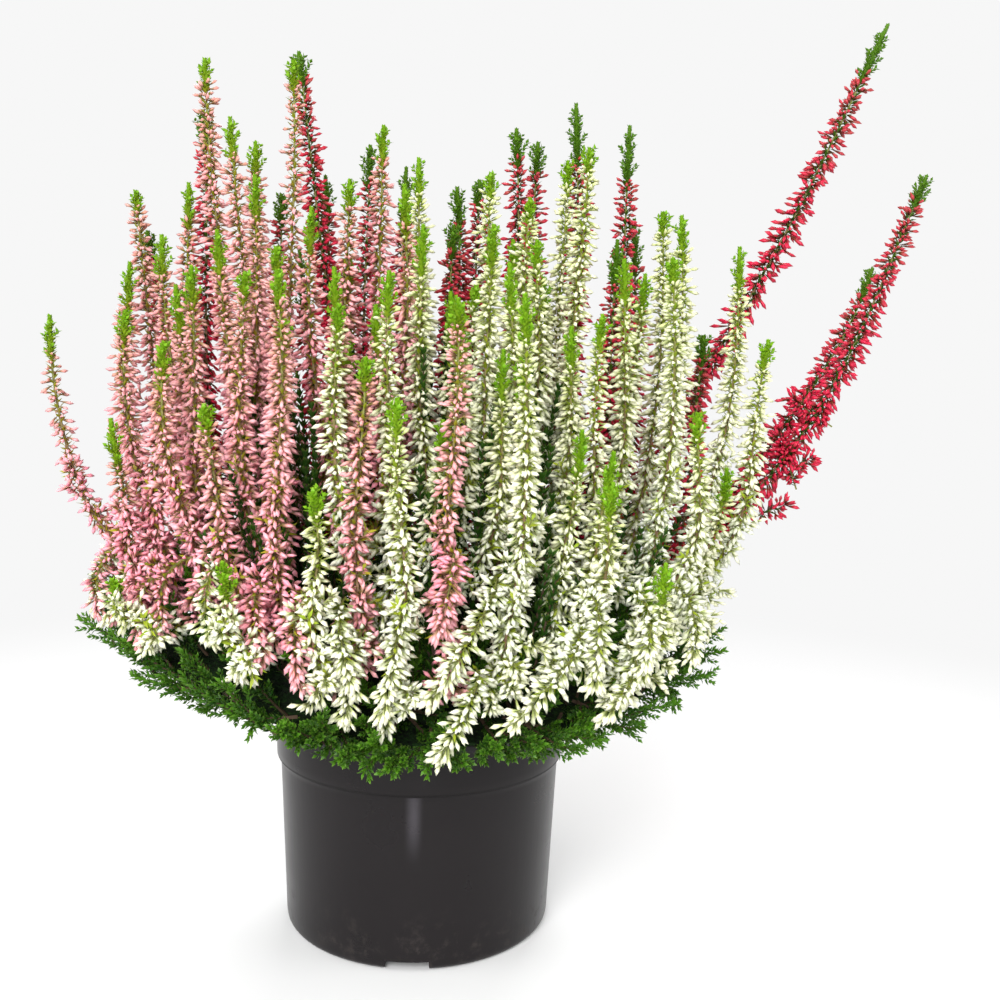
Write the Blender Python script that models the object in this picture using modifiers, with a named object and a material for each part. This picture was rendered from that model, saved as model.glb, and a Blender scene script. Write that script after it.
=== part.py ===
"""Potted heather: pink, white and red bud heathers grown together in one 13 cm nursery pot.

Units are metres, +Z is up and the origin is the middle of the pot's base, where it stands.
The photograph was taken from the -Y side. Flowering shoots stand on short branches of three
leafy clumps, one for each plant, whose stems stand in holes in the soil.
"""
import math

import bpy
import numpy as np

# Pot
POT_HEIGHT = 0.096
RIM_RADIUS = 0.065
BAND_RADIUS = 0.0632
BAND_BOTTOM = 0.0745
WALL_TOP_RADIUS = 0.0615
WALL_FOOT_RADIUS = 0.0583
FOOT_ROUNDING = 0.003
POT_WALL = 0.0011
POT_FLOOR = 0.0044
POT_SEGMENTS = 32
CHANNEL_COUNT = 3
CHANNEL_WIDTH = 0.016
CHANNEL_HEIGHT = 0.0033
CHANNEL_INNER_END = 0.030
DRAIN_RADIUS = 0.0040
DRAIN_REACH = 0.038

# Soil and the stems that stand in it
SOIL_TOP = 0.087
SOIL_SEGMENTS = 20
STEM_RADIUS = 0.0045
STEM_REACH = 0.022
STEM_DEPTH = 0.030
SEAT_GAP = 0.0003

# Leafy clumps: how far out and how high the edge of the foliage lies, every 45 degrees
# from +X round to -Y (0 right, 90 back, 180 left, 270 front)
EDGE_REACH = (0.118, 0.110, 0.098, 0.112, 0.136, 0.115, 0.092, 0.104)
EDGE_HEIGHT = (0.130, 0.136, 0.126, 0.136, 0.143, 0.128, 0.107, 0.115)
CROWN_HEIGHT = 0.156
CLUMP_UNDERSIDE = 0.0995
UNDERSIDE_LEVEL_REACH = 0.070
EDGE_THICKNESS = 0.012
LEAST_THICKNESS = 0.007
CLUMP_FIRST_AZIMUTH = math.radians(20)
SECTOR = math.tau / 3
CLUMP_GAP = 0.0012
CLUMP_HUB = 0.004
TUFT_RELIEF = 0.0050
PRESSED_WITHIN = 0.020
PRESSED_BELOW = 0.0105

# Flowering shoots
FLOWER_RADIUS_LOW = 0.0066
FLOWER_RADIUS_HIGH = 0.0058
TIP_LENGTH = 0.017
TIP_RADIUS = 0.0034
BARE_STEM_RADIUS = 0.0016
BARE_STEM_LENGTH = 0.008
BUD_PITCH = 0.028
SHOOT_SIDES = 6
SEAT_PULL = 0.80
SEAT_HEIGHT = 0.006
MOST_SEAT_REACH = 0.90
LEAST_SEAT_REACH = 0.012
SEAT_FROM_PLANE = 0.0052
TURN_RISE = 0.10
SHOOT_CLEARANCE = 0.0135
SPREAD_ROUNDS = 160
SPREAD_POINTS = 18
SPREAD_BIAS = (0.55, 1.0)
ARCHED_YIELD = 0.2
MOST_SPRAYS = 54

# Shoots read from the photograph: x and y of the stretch where a shoot turns upright, the
# height of its tip, and how far the tip leans to the right of that stretch
PINK_SHOOTS = (
    (-0.151, -0.005, 0.261, -0.009),
    (-0.134, 0.010, 0.286, 0.000),
    (-0.131, 0.032, 0.320, -0.006),
    (-0.112, 0.034, 0.325, -0.003),
    (-0.094, 0.022, 0.377, -0.006),
    (-0.080, 0.004, 0.347, -0.005),
    (-0.078, 0.034, 0.344, -0.003),
    (-0.061, 0.012, 0.374, -0.002),
    (-0.020, 0.024, 0.351, -0.004),
    (-0.046, -0.016, 0.308, -0.002),
    (-0.034, 0.004, 0.323, -0.003),
    (-0.080, -0.030, 0.295, -0.002),
    (-0.089, -0.048, 0.279, -0.002),
    (-0.119, -0.032, 0.263, -0.001),
    (-0.092, -0.066, 0.249, -0.003),
    (-0.066, -0.062, 0.276, -0.001),
    (-0.046, -0.088, 0.274, -0.003),
    (-0.030, -0.052, 0.279, -0.001),
    (-0.123, -0.054, 0.219, -0.001),
    (-0.017, -0.090, 0.244, -0.001),
    (0.017, -0.094, 0.265, -0.002),
    (-0.107, -0.008, 0.296, -0.004),
    (-0.060, -0.038, 0.288, 0.001),
    (-0.072, -0.088, 0.226, -0.002),
)
WHITE_SHOOTS = (
    (-0.002, 0.002, 0.332, -0.001),
    (0.003, -0.038, 0.299, -0.004),
    (-0.027, -0.074, 0.264, -0.002),
    (-0.007, -0.066, 0.277, -0.002),
    (-0.001, -0.104, 0.230, 0.000),
    (0.028, 0.012, 0.329, -0.001),
    (0.029, -0.030, 0.301, -0.002),
    (0.040, -0.096, 0.267, 0.001),
    (0.059, 0.030, 0.338, -0.001),
    (0.066, 0.005, 0.339, 0.000),
    (0.084, -0.020, 0.289, 0.000),
    (0.104, 0.024, 0.315, -0.001),
    (0.111, 0.002, 0.310, -0.002),
    (0.104, -0.032, 0.288, -0.004),
    (0.070, -0.088, 0.201, 0.006),
    (0.091, -0.066, 0.163, 0.002),
    (0.058, -0.072, 0.220, 0.003),
    (0.114, -0.050, 0.227, -0.002),
    (0.127, -0.020, 0.203, -0.001),
    (0.134, 0.016, 0.299, 0.004),
    (0.143, -0.002, 0.258, 0.005),
    (-0.032, -0.104, 0.199, 0.000),
    (-0.062, -0.102, 0.172, -0.003),
    (-0.110, -0.074, 0.160, -0.004),
    (0.094, -0.086, 0.172, 0.002),
    (0.018, -0.062, 0.262, 0.000),
    (0.072, -0.046, 0.264, 0.000),
    (0.048, -0.020, 0.296, 0.000),
)
RED_SHOOTS = (
    (-0.044, 0.050, 0.389, -0.022),
    (-0.126, 0.052, 0.305, -0.010),
    (-0.110, 0.060, 0.363, -0.005),
    (-0.076, 0.062, 0.326, -0.002),
    (-0.053, 0.068, 0.336, -0.001),
    (-0.034, 0.076, 0.353, -0.003),
    (-0.014, 0.056, 0.339, -0.001),
    (-0.058, 0.036, 0.296, -0.002),
    (0.012, 0.048, 0.328, -0.003),
    (0.022, 0.072, 0.337, -0.002),
    (0.039, 0.048, 0.355, -0.003),
    (0.050, 0.072, 0.356, -0.002),
    (0.068, 0.058, 0.370, -0.003),
    (0.084, 0.044, 0.357, 0.007),
    (0.086, 0.020, 0.302, -0.003),
    (0.101, 0.056, 0.317, -0.001),
    (0.124, 0.042, 0.262, 0.002),
)
# Three long red shoots arch out to the right: where each turns upwards, and its tip
ARCHED_SHOOTS = (
    ((0.112, 0.052, 0.205), (0.212, 0.060, 0.411)),
    ((0.150, 0.056, 0.158), (0.241, 0.078, 0.345)),
    ((0.158, 0.076, 0.190), (0.223, 0.098, 0.302)),
)

# Shoots behind and between those, which the photograph hides: a jittered lattice
FILL_PITCH = 0.022
FILL_REACH = (0.128, 0.114)
FILL_SPACING = 0.0185
FILL_HEIGHT = 0.315
FILL_DROP = 0.080
FILL_SEED = 5

# Leafy sprigs of the skirt: share of the way out where a row starts, its place between the
# clump's underside and top, pitch, length and count
SPRIG_ROWS = (
    (0.94, 0.55, math.radians(12), 0.038, 10),
    (0.84, 0.10, math.radians(-24), 0.038, 7),
    (0.92, 0.90, math.radians(36), 0.034, 5),
    (0.72, 1.00, math.radians(60), 0.030, 3),
)
RIM_SPRIG_REACH = 0.069
RIM_SPRIG_PITCH = math.radians(-52)
RIM_SPRIG_LENGTH = 0.026
RIM_SPRIG_COUNT = 4
SPRIG_HALF_WIDTH = 0.0052
SPRIG_HALF_THICKNESS = 0.0011
SPRIG_SEED = 11

POT_COLOUR = (0.035, 0.032, 0.033)
SOIL_COLOUR = (0.045, 0.028, 0.018)
LEAF_COLOUR = (0.045, 0.150, 0.030)
FLOWER_COLOURS = {"pink": (0.72, 0.30, 0.36), "white": (0.80, 0.80, 0.62), "red": (0.55, 0.02, 0.07)}


def clear_scene():
    """Remove whatever the file opened with."""
    for thing in list(bpy.data.objects):
        bpy.data.objects.remove(thing, do_unlink=True)


def new_collection(name):
    """A collection linked to the scene."""
    collection = bpy.data.collections.new(name)
    bpy.context.scene.collection.children.link(collection)
    return collection


def plain_material(name, colour, roughness):
    """A Principled material of one colour."""
    material = bpy.data.materials.new(name)
    material.use_nodes = True
    shader = material.node_tree.nodes["Principled BSDF"]
    shader.inputs["Base Color"].default_value = (*colour, 1.0)
    shader.inputs["Roughness"].default_value = roughness
    return material


def mesh_object(name, points, faces, collection, material=None):
    """An object made from lists of points and faces."""
    mesh = bpy.data.meshes.new(name)
    mesh.from_pydata([tuple(map(float, point)) for point in points], [], faces)
    mesh.validate()
    if material:
        mesh.materials.append(material)
    thing = bpy.data.objects.new(name, mesh)
    collection.objects.link(thing)
    return thing


def turned(name, profile, segments, collection, material):
    """A profile of (radius, height) points, from top to bottom of its outer side, turned about Z."""
    points = [(radius, 0.0, height) for radius, height in profile]
    thing = mesh_object(name, points, [], collection, material)
    thing.data.edges.add(len(profile) - 1)
    for index in range(len(profile) - 1):
        thing.data.edges[index].vertices = (index, index + 1)
    screw = thing.modifiers.new("Turn", "SCREW")
    screw.steps = segments
    screw.render_steps = segments
    screw.use_merge_vertices = True
    screw.merge_threshold = 0.00005
    screw.use_smooth_shade = True
    return thing


def apply_modifiers(thing):
    """Keep the evaluated mesh in place of the modifiers."""
    bpy.context.view_layer.update()
    evaluated = thing.evaluated_get(bpy.context.evaluated_depsgraph_get())
    mesh = bpy.data.meshes.new_from_object(evaluated)
    thing.modifiers.clear()
    old = thing.data
    thing.data = mesh
    bpy.data.meshes.remove(old)


def combine(thing, others, operation):
    """Join the other objects to this one, or cut them out of it, then remove them."""
    tools = new_collection("boolean_tools")
    for other in others:
        for owner in list(other.users_collection):
            owner.objects.unlink(other)
        tools.objects.link(other)
    boolean = thing.modifiers.new("Combine", "BOOLEAN")
    boolean.operation = operation
    boolean.operand_type = "COLLECTION"
    boolean.collection = tools
    boolean.solver = "EXACT"
    apply_modifiers(thing)
    for other in list(tools.objects):
        bpy.data.objects.remove(other, do_unlink=True)
    bpy.data.collections.remove(tools)


def wall_radius(height):
    """Outer radius of the pot's tapered wall at a height."""
    share = height / BAND_BOTTOM
    return WALL_FOOT_RADIUS + share * (WALL_TOP_RADIUS - WALL_FOOT_RADIUS)


def pot_profile():
    """The pot from the middle of its floor up the inside, over the lip and down the outside."""
    corner = [
        (
            WALL_FOOT_RADIUS - FOOT_ROUNDING * (1 - math.cos(turn)),
            FOOT_ROUNDING * (1 - math.sin(turn)),
        )
        for turn in (0.0, math.radians(45), math.radians(90))
    ]
    return [
        (0.0, POT_FLOOR),
        (wall_radius(POT_FLOOR) - POT_WALL, POT_FLOOR),
        (WALL_TOP_RADIUS - POT_WALL, BAND_BOTTOM),
        (BAND_RADIUS - POT_WALL, BAND_BOTTOM + 0.0015),
        (RIM_RADIUS - 0.0022, POT_HEIGHT),
        (RIM_RADIUS - 0.0004, POT_HEIGHT),
        (RIM_RADIUS, POT_HEIGHT - 0.0009),
        (RIM_RADIUS - 0.0002, POT_HEIGHT - 0.0030),
        (RIM_RADIUS - 0.0010, POT_HEIGHT - 0.0038),
        (BAND_RADIUS, BAND_BOTTOM),
        (WALL_TOP_RADIUS, BAND_BOTTOM - 0.0006),
        *corner,
        (0.0, 0.0),
    ]


def channel_cutter(index, collection):
    """A bar that cuts a drainage channel from the foot inwards, with its drain hole above."""
    azimuth = math.radians(-90) + index * math.tau / CHANNEL_COUNT
    length = RIM_RADIUS + 0.01 - CHANNEL_INNER_END
    reach = CHANNEL_INNER_END + length / 2
    bpy.ops.mesh.primitive_cube_add(size=1)
    bar = bpy.context.object
    bar.scale = (length, CHANNEL_WIDTH, 2 * CHANNEL_HEIGHT)
    bar.rotation_euler = (0, 0, azimuth)
    bar.location = (reach * math.cos(azimuth), reach * math.sin(azimuth), 0)
    bpy.ops.mesh.primitive_cylinder_add(vertices=12, radius=DRAIN_RADIUS, depth=4 * POT_FLOOR)
    drain = bpy.context.object
    drain.location = (DRAIN_REACH * math.cos(azimuth), DRAIN_REACH * math.sin(azimuth), 0)
    for cutter in (bar, drain):
        cutter.hide_render = True
        cutter.display_type = "WIRE"
    return bar, drain


def build_pot(collection, cutters):
    """The nursery pot, with three drainage channels under its floor."""
    pot = turned("pot", pot_profile(), POT_SEGMENTS, collection, plain_material("pot", POT_COLOUR, 0.38))
    apply_modifiers(pot)
    tools = []
    for index in range(CHANNEL_COUNT):
        tools.extend(channel_cutter(index, cutters))
    combine(pot, tools, "DIFFERENCE")
    return pot


def stem_places():
    """Where the three plants' stems stand in the soil."""
    for index in range(3):
        azimuth = CLUMP_FIRST_AZIMUTH + (index + 0.5) * SECTOR
        yield STEM_REACH * math.cos(azimuth), STEM_REACH * math.sin(azimuth)


def build_soil(collection):
    """Peat that fills the pot, slightly domed and uneven, with a plain hole for each stem."""
    inset = POT_WALL + SEAT_GAP
    profile = [
        (0.0, SOIL_TOP),
        (0.024, SOIL_TOP - 0.0004),
        (0.046, SOIL_TOP - 0.0012),
        (BAND_RADIUS - inset, SOIL_TOP - 0.0030),
        (BAND_RADIUS - inset, BAND_BOTTOM + 0.0020),
        (WALL_TOP_RADIUS - inset, BAND_BOTTOM),
        (wall_radius(POT_FLOOR) - inset, POT_FLOOR + SEAT_GAP),
        (0.0, POT_FLOOR + SEAT_GAP),
    ]
    soil = turned("soil", profile, SOIL_SEGMENTS, collection, plain_material("soil", SOIL_COLOUR, 0.95))
    apply_modifiers(soil)
    for vertex in soil.data.vertices:
        across = math.hypot(vertex.co.x, vertex.co.y)
        if vertex.co.z > BAND_BOTTOM + 0.004 and across < 0.055:
            vertex.co.z += 0.0008 * math.sin(170 * vertex.co.x) * math.cos(190 * vertex.co.y)
    holes = []
    for x, y in stem_places():
        bpy.ops.mesh.primitive_cylinder_add(vertices=10, radius=STEM_RADIUS + SEAT_GAP, depth=2 * STEM_DEPTH)
        hole = bpy.context.object
        hole.location = (x, y, SOIL_TOP)
        holes.append(hole)
    combine(soil, holes, "DIFFERENCE")
    return soil


def around(values, azimuth):
    """A value given every 45 degrees, read smoothly at any azimuth."""
    place = np.mod(azimuth, math.tau) / (math.tau / len(values))
    first = np.floor(place).astype(int) % len(values)
    share = place - np.floor(place)
    share = share * share * (3 - 2 * share)
    table = np.asarray(values)
    return table[first] * (1 - share) + table[(first + 1) % len(values)] * share


def clump_top(x, y):
    """Height of the foliage's upper surface: the crown, falling evenly to the edge."""
    azimuth = np.arctan2(y, x)
    share = np.hypot(x, y) / around(EDGE_REACH, azimuth)
    return CROWN_HEIGHT + (around(EDGE_HEIGHT, azimuth) - CROWN_HEIGHT) * np.minimum(share, 1.15) ** 1.1


def clump_underside(reach, azimuth):
    """Height of the foliage's underside: level over the pot's rim, then rising to the edge."""
    edge = float(around(EDGE_REACH, azimuth))
    beyond = max(reach - UNDERSIDE_LEVEL_REACH, 0.0) / (edge - UNDERSIDE_LEVEL_REACH)
    rise = float(around(EDGE_HEIGHT, azimuth)) - EDGE_THICKNESS - CLUMP_UNDERSIDE
    return CLUMP_UNDERSIDE + rise * beyond**1.3


def fill_shoots(placed):
    """Shoots on a jittered lattice, kept where no placed shoot stands near, shorter outwards."""
    draw = np.random.default_rng(FILL_SEED)
    homes = [(shoot[1][0], shoot[1][1]) for shoot in placed]
    found = []
    rows = int(FILL_REACH[1] / FILL_PITCH) + 1
    for row in range(-rows, rows + 1):
        for column in range(-6, 7):
            x = (column + 0.5 * (row % 2)) * FILL_PITCH + draw.uniform(-0.003, 0.003)
            y = row * FILL_PITCH * 0.87 + draw.uniform(-0.003, 0.003)
            share = math.hypot(x / FILL_REACH[0], y / FILL_REACH[1])
            height = FILL_HEIGHT - FILL_DROP * share**2 + draw.uniform(-0.02, 0.02)
            crowded = any(math.hypot(x - a, y - b) < FILL_SPACING for a, b in homes)
            if share > 1 or crowded or y < -0.045:
                continue
            azimuth = math.degrees(math.atan2(y, x))
            colour = "red" if 15 < azimuth < 128 else "white" if -110 < azimuth <= 15 else "pink"
            homes.append((x, y))
            found.append((colour, (x, y), (x * 1.04, y * 1.04, height), None))
    return found


def planting_plan():
    """Every shoot: its colour, where it turns upright, its tip, and how high it turns."""
    shoots = []
    for colour, rows in (("pink", PINK_SHOOTS), ("white", WHITE_SHOOTS), ("red", RED_SHOOTS)):
        for x, y, top, lean in rows:
            shoots.append((colour, (x, y), (x + lean, y * 0.98, top), None))
    for turn, tip in ARCHED_SHOOTS:
        shoots.append(("red", turn[:2], tip, turn[2]))
    return shoots + fill_shoots(shoots)


def bend_through(foot, turn, tip, count):
    """Points on the parabola that leaves the foot towards the turn and arrives at the tip."""
    share = np.linspace(0, 1, count)[:, None]
    return (1 - share) ** 2 * foot + 2 * share * (1 - share) * turn + share**2 * tip


class Shoot:
    """One flowering shoot: a bent line from its foot, out over the clump and up to its tip."""

    def __init__(self, colour, home, tip, turn_height):
        self.colour = colour
        self.home = np.array(home)
        self.tip = np.array(tip)
        self.turn_height = turn_height
        self.foot = None
        self.fork = None

    def place_foot(self, spot):
        """Put the foot over a spot of the foliage, clear of the planes between the clumps."""
        azimuth = math.atan2(spot[1], spot[0])
        reach = min(math.hypot(*spot), MOST_SEAT_REACH * float(around(EDGE_REACH, azimuth)))
        reach = max(reach, LEAST_SEAT_REACH)
        beside = (azimuth - CLUMP_FIRST_AZIMUTH + SECTOR / 2) % SECTOR - SECTOR / 2
        least = SEAT_FROM_PLANE / reach
        if abs(beside) < least:
            azimuth += math.copysign(least, beside) - beside
        x, y = reach * math.cos(azimuth), reach * math.sin(azimuth)
        self.foot = np.array([x, y, float(clump_top(x, y)) + SEAT_HEIGHT])

    def line(self, count):
        """Points along the shoot."""
        start = self.foot if self.fork is None else self.fork
        rise = self.tip[2] - start[2]
        height = start[2] + TURN_RISE * rise if self.turn_height is None else self.turn_height
        return bend_through(start, np.array([*self.home, height]), self.tip, count)

    def shift(self, step):
        """Move the upright stretch and the tip sideways together. A long arched one yields less."""
        if self.turn_height is not None:
            step = ARCHED_YIELD * step
        self.home += step
        self.tip[:2] += step


def pair_sprays(shoots):
    """Shoots of one colour that stand nearest share a branch, until few enough branches are left."""
    pairs = []
    for i, first in enumerate(shoots):
        for j in range(i + 1, len(shoots)):
            if shoots[j].colour == first.colour:
                pairs.append((float(np.hypot(*(shoots[j].home - first.home))), i, j))
    sprays = []
    free = set(range(len(shoots)))
    for _, i, j in sorted(pairs):
        if len(free) + len(sprays) <= MOST_SPRAYS:
            break
        if i in free and j in free:
            free -= {i, j}
            taller, shorter = (i, j) if shoots[i].tip[2] >= shoots[j].tip[2] else (j, i)
            sprays.append([taller, shorter])
    sprays += [[i] for i in free]
    return sorted(sprays)


def join_feet(shoots, sprays):
    """Seat each spray, and let its second shoot leave the first a little above the seat."""
    for spray in sprays:
        first = shoots[spray[0]]
        middle = sum(shoots[i].home for i in spray) / len(spray)
        first.place_foot(middle * SEAT_PULL)
        for i in spray[1:]:
            path = first.line(60)
            shoots[i].fork = path[int(np.searchsorted(arc_lengths(path), 0.75 * BARE_STEM_LENGTH))]


def spread_apart(shoots, sprays):
    """Neighbours elbow each other aside, mostly in depth, until they stand clear."""
    size = len(shoots)
    mate = np.full(size, -1)
    for spray in sprays:
        if len(spray) == 2:
            mate[spray] = spray[::-1]
    owner = np.repeat(np.arange(size), SPREAD_POINTS)
    place = np.tile(np.arange(SPREAD_POINTS), size)
    near_fork = np.minimum(place[:, None], place[None, :]) < 0.4 * SPREAD_POINTS
    related = (mate[owner][:, None] == owner[None, :]) & near_fork
    ignore = (owner[:, None] == owner[None, :]) | related
    for _ in range(SPREAD_ROUNDS):
        join_feet(shoots, sprays)
        lines = np.concatenate([shoot.line(SPREAD_POINTS) for shoot in shoots])
        apart = lines[:, None, :] - lines[None, :, :]
        distance = np.sqrt((apart**2).sum(axis=2))
        distance[ignore] = 1.0
        close = np.argwhere(distance < SHOOT_CLEARANCE)
        if len(close) == 0:
            break
        steps = np.zeros((size, 2))
        counts = np.zeros(size)
        for a, b in close:
            short = SHOOT_CLEARANCE - distance[a, b]
            away = apart[a, b, :2] * SPREAD_BIAS + (0.0, 1e-6 * (a - b))
            steps[owner[a]] += away / math.hypot(*away) * short
            counts[owner[a]] += 1
        for i in range(size):
            if counts[i]:
                shoots[i].shift(0.5 * steps[i] / counts[i])
    join_feet(shoots, sprays)
    print(f"{len(shoots)} shoots in {len(sprays)} sprays, nearest lines {1000 * distance.min():.1f} mm apart")


def arc_lengths(path):
    """Distance along a path to each of its points."""
    return np.concatenate([[0], np.cumsum(np.linalg.norm(np.diff(path, axis=0), axis=1))])


def resample(path, places):
    """Points at given distances along a path, with the directions there."""
    along = arc_lengths(path)
    points = np.stack([np.interp(places, along, path[:, k]) for k in range(3)], axis=1)
    ahead = np.stack([np.interp(np.asarray(places) + 0.001, along, path[:, k]) for k in range(3)], axis=1)
    behind = np.stack([np.interp(np.asarray(places) - 0.001, along, path[:, k]) for k in range(3)], axis=1)
    direction = ahead - behind
    return points, direction / np.linalg.norm(direction, axis=1)[:, None]


def side_frames(direction):
    """Two sideways unit vectors at each point, carried along the path without twist."""
    start = np.array([1.0, 0.0, 0.0]) if abs(direction[0][0]) < 0.8 else np.array([0.0, 1.0, 0.0])
    across = []
    for ahead in direction:
        start = start - ahead * np.dot(start, ahead)
        start = start / np.linalg.norm(start)
        across.append(start)
    across = np.array(across)
    return across, np.cross(direction, across)


def tube(points, across, up, offsets, apex):
    """Close rings of offsets (across, up, along) round a path into a mesh with a cap and an apex."""
    rings, sides = offsets.shape[:2]
    forward = np.cross(across, up)
    verts = (
        points[:, None, :]
        + offsets[:, :, 0:1] * across[:, None, :]
        + offsets[:, :, 1:2] * up[:, None, :]
        + offsets[:, :, 2:3] * forward[:, None, :]
    ).reshape(-1, 3)
    verts = np.vstack([verts, apex])
    faces = [tuple(range(sides - 1, -1, -1))]
    for ring in range(rings - 1):
        for side in range(sides):
            a = ring * sides + side
            b = ring * sides + (side + 1) % sides
            if (ring + side) % 2:
                faces += [(a, b, b + sides), (a, b + sides, a + sides)]
            else:
                faces += [(a, b, a + sides), (b, b + sides, a + sides)]
    last = (rings - 1) * sides
    faces += [(last + side, last + (side + 1) % sides, len(verts) - 1) for side in range(sides)]
    return verts, faces


def shoot_solid(name, shoot, collection, material):
    """A shoot: bare stem, rings of buds raised from it by turns, and a slim leafy tip."""
    path = shoot.line(60)
    length = arc_lengths(path)[-1]
    bare = BARE_STEM_LENGTH if shoot.fork is None else 2.5 * BARE_STEM_LENGTH
    flowering = length - bare - TIP_LENGTH
    count = max(3, round(flowering / BUD_PITCH))
    flower_places = bare + 0.003 + (flowering - 0.003) * np.arange(count) / (count - 1)
    places = np.concatenate([[0.0, bare], flower_places, [length - 0.55 * TIP_LENGTH]])
    points, direction = resample(path, places)
    across, up = side_frames(direction)
    turn = np.arange(SHOOT_SIDES) * math.tau / SHOOT_SIDES
    share = (flower_places - bare) / flowering
    radius = FLOWER_RADIUS_LOW + (FLOWER_RADIUS_HIGH - FLOWER_RADIUS_LOW) * share
    offsets = np.zeros((len(places), SHOOT_SIDES, 3))
    for ring in range(len(places)):
        if ring < 2:
            reach = np.full(SHOOT_SIDES, BARE_STEM_RADIUS)
            along = np.zeros(SHOOT_SIDES)
        elif ring == len(places) - 1:
            raised = (np.arange(SHOOT_SIDES) + ring) % 2 == 0
            reach = np.where(raised, TIP_RADIUS, 0.55 * TIP_RADIUS)
            along = np.where(raised, 0.002, 0.0)
        else:
            raised = (np.arange(SHOOT_SIDES) + ring) % 2 == 0
            reach = np.where(raised, 1.0, 0.52) * radius[ring - 2]
            along = np.where(raised, -0.0015, 0.0)
        offsets[ring, :, 0] = reach * np.cos(turn)
        offsets[ring, :, 1] = reach * np.sin(turn)
        offsets[ring, :, 2] = along
    verts, faces = tube(points, across, up, offsets, shoot.tip)
    return mesh_object(name, verts, faces, collection, material)


def build_sprays(shoots, sprays, collection):
    """A node for each branch of flowering shoots, named by colour."""
    materials = {
        colour: plain_material(f"{colour}_flowers", shade, 0.55) for colour, shade in FLOWER_COLOURS.items()
    }
    numbers = dict.fromkeys(FLOWER_COLOURS, 0)
    for spray in sprays:
        colour = shoots[spray[0]].colour
        numbers[colour] += 1
        name = f"{colour}_spray_{numbers[colour]:02d}"
        solids = [
            shoot_solid(name if k == 0 else f"{name}_side", shoots[i], collection, materials[colour])
            for k, i in enumerate(spray)
        ]
        if len(solids) > 1:
            combine(solids[0], solids[1:], "UNION")


def clump_core(name, index, shoots, collection, material):
    """A wedge of foliage between two planes through the pot's axis, with tufts raised on it.

    Its top falls from the crown to the edge and is pressed down under every shoot; its
    underside is level over the pot's rim and then rises to the edge.
    """
    columns, rows, level_rows = 8, 6, 3
    first = CLUMP_FIRST_AZIMUTH + index * SECTOR
    lines = np.concatenate([shoot.line(40)[2:] for shoot in shoots])
    middle = first + SECTOR / 2
    axis = 2 * CLUMP_GAP * np.array([math.cos(middle), math.sin(middle)])
    top, bottom = [], []
    for column in range(columns):
        azimuth = first + SECTOR * column / (columns - 1)
        edge = float(around(EDGE_REACH, azimuth))
        for row in range(rows):
            if row <= level_rows:
                reach = CLUMP_HUB + (UNDERSIDE_LEVEL_REACH - CLUMP_HUB) * row / level_rows
            else:
                beyond = (row - level_rows) / (rows - 1 - level_rows)
                reach = UNDERSIDE_LEVEL_REACH + (edge - UNDERSIDE_LEVEL_REACH) * beyond
            x = reach * math.cos(azimuth) + axis[0]
            y = reach * math.sin(azimuth) + axis[1]
            raised = TUFT_RELIEF if (row + column) % 2 else -TUFT_RELIEF
            if column in (0, columns - 1):
                raised = 0.0
            high = float(clump_top(x, y)) - SEAT_HEIGHT + raised
            near = np.hypot(lines[:, 0] - x, lines[:, 1] - y) < PRESSED_WITHIN
            if near.any():
                high = min(high, float(lines[near, 2].min()) - PRESSED_BELOW)
            low = clump_underside(reach, azimuth)
            hangs = raised < 0 and reach > UNDERSIDE_LEVEL_REACH
            top.append((x, y, max(high, low + LEAST_THICKNESS)))
            bottom.append((x, y, low + raised if hangs else low))
    verts = top + bottom
    under = columns * rows
    faces = []
    for column in range(columns - 1):
        for row in range(rows - 1):
            a = column * rows + row
            b = a + rows
            c, d = a + under, b + under
            if (row + column) % 2:
                faces += [(a, a + 1, b + 1), (a, b + 1, b), (c, d + 1, c + 1), (c, d, d + 1)]
            else:
                faces += [(a, a + 1, b), (a + 1, b + 1, b), (c, d, c + 1), (c + 1, d, d + 1)]
        inner = column * rows
        outer = inner + rows - 1
        faces.append((inner, inner + rows, inner + rows + under, inner + under))
        faces.append((outer + rows, outer, outer + under, outer + rows + under))
    for row in range(rows - 1):
        a = row
        faces.append((a + 1, a, a + under, a + 1 + under))
        b = (columns - 1) * rows + row
        faces.append((b, b + 1, b + 1 + under, b + under))
    return mesh_object(name, verts, faces, collection, material)


def sprig_solid(path, collection):
    """A leafy sprig: a flat spindle whose edges step out in teeth, one pair to each side twig."""
    length = arc_lengths(path)[-1]
    shares = np.array([0.0, 0.32, 0.50, 0.70])
    widths = np.array([0.35, 1.00, 0.42, 0.75]) * SPRIG_HALF_WIDTH
    points, direction = resample(path, shares * length)
    level = np.cross(direction, (0.0, 0.0, 1.0))
    across = level / np.linalg.norm(level, axis=1)[:, None]
    up = np.cross(direction, across)
    offsets = np.zeros((len(shares), 4, 3))
    offsets[:, 0, 0] = widths
    offsets[:, 2, 0] = -widths
    offsets[:, 1, 1] = SPRIG_HALF_THICKNESS
    offsets[:, 3, 1] = -SPRIG_HALF_THICKNESS
    offsets[:, 0, 2] = 0.004 * (widths > 0.5 * SPRIG_HALF_WIDTH)
    offsets[:, 2, 2] = offsets[:, 0, 2]
    verts, faces = tube(points, across, up, offsets, path[-1])
    return mesh_object("sprig", verts, faces, collection)


def sprig_path(start, azimuth, pitch, length):
    """A sprig's line: out at its pitch, then curving up a little towards the light."""
    share = np.linspace(0, 1, 12)
    level = math.cos(pitch)
    out = np.array([level * math.cos(azimuth), level * math.sin(azimuth), math.sin(pitch)])
    path = np.asarray(start) + share[:, None] * length * out
    path[:, 2] += 0.20 * length * share**2
    return path


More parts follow.
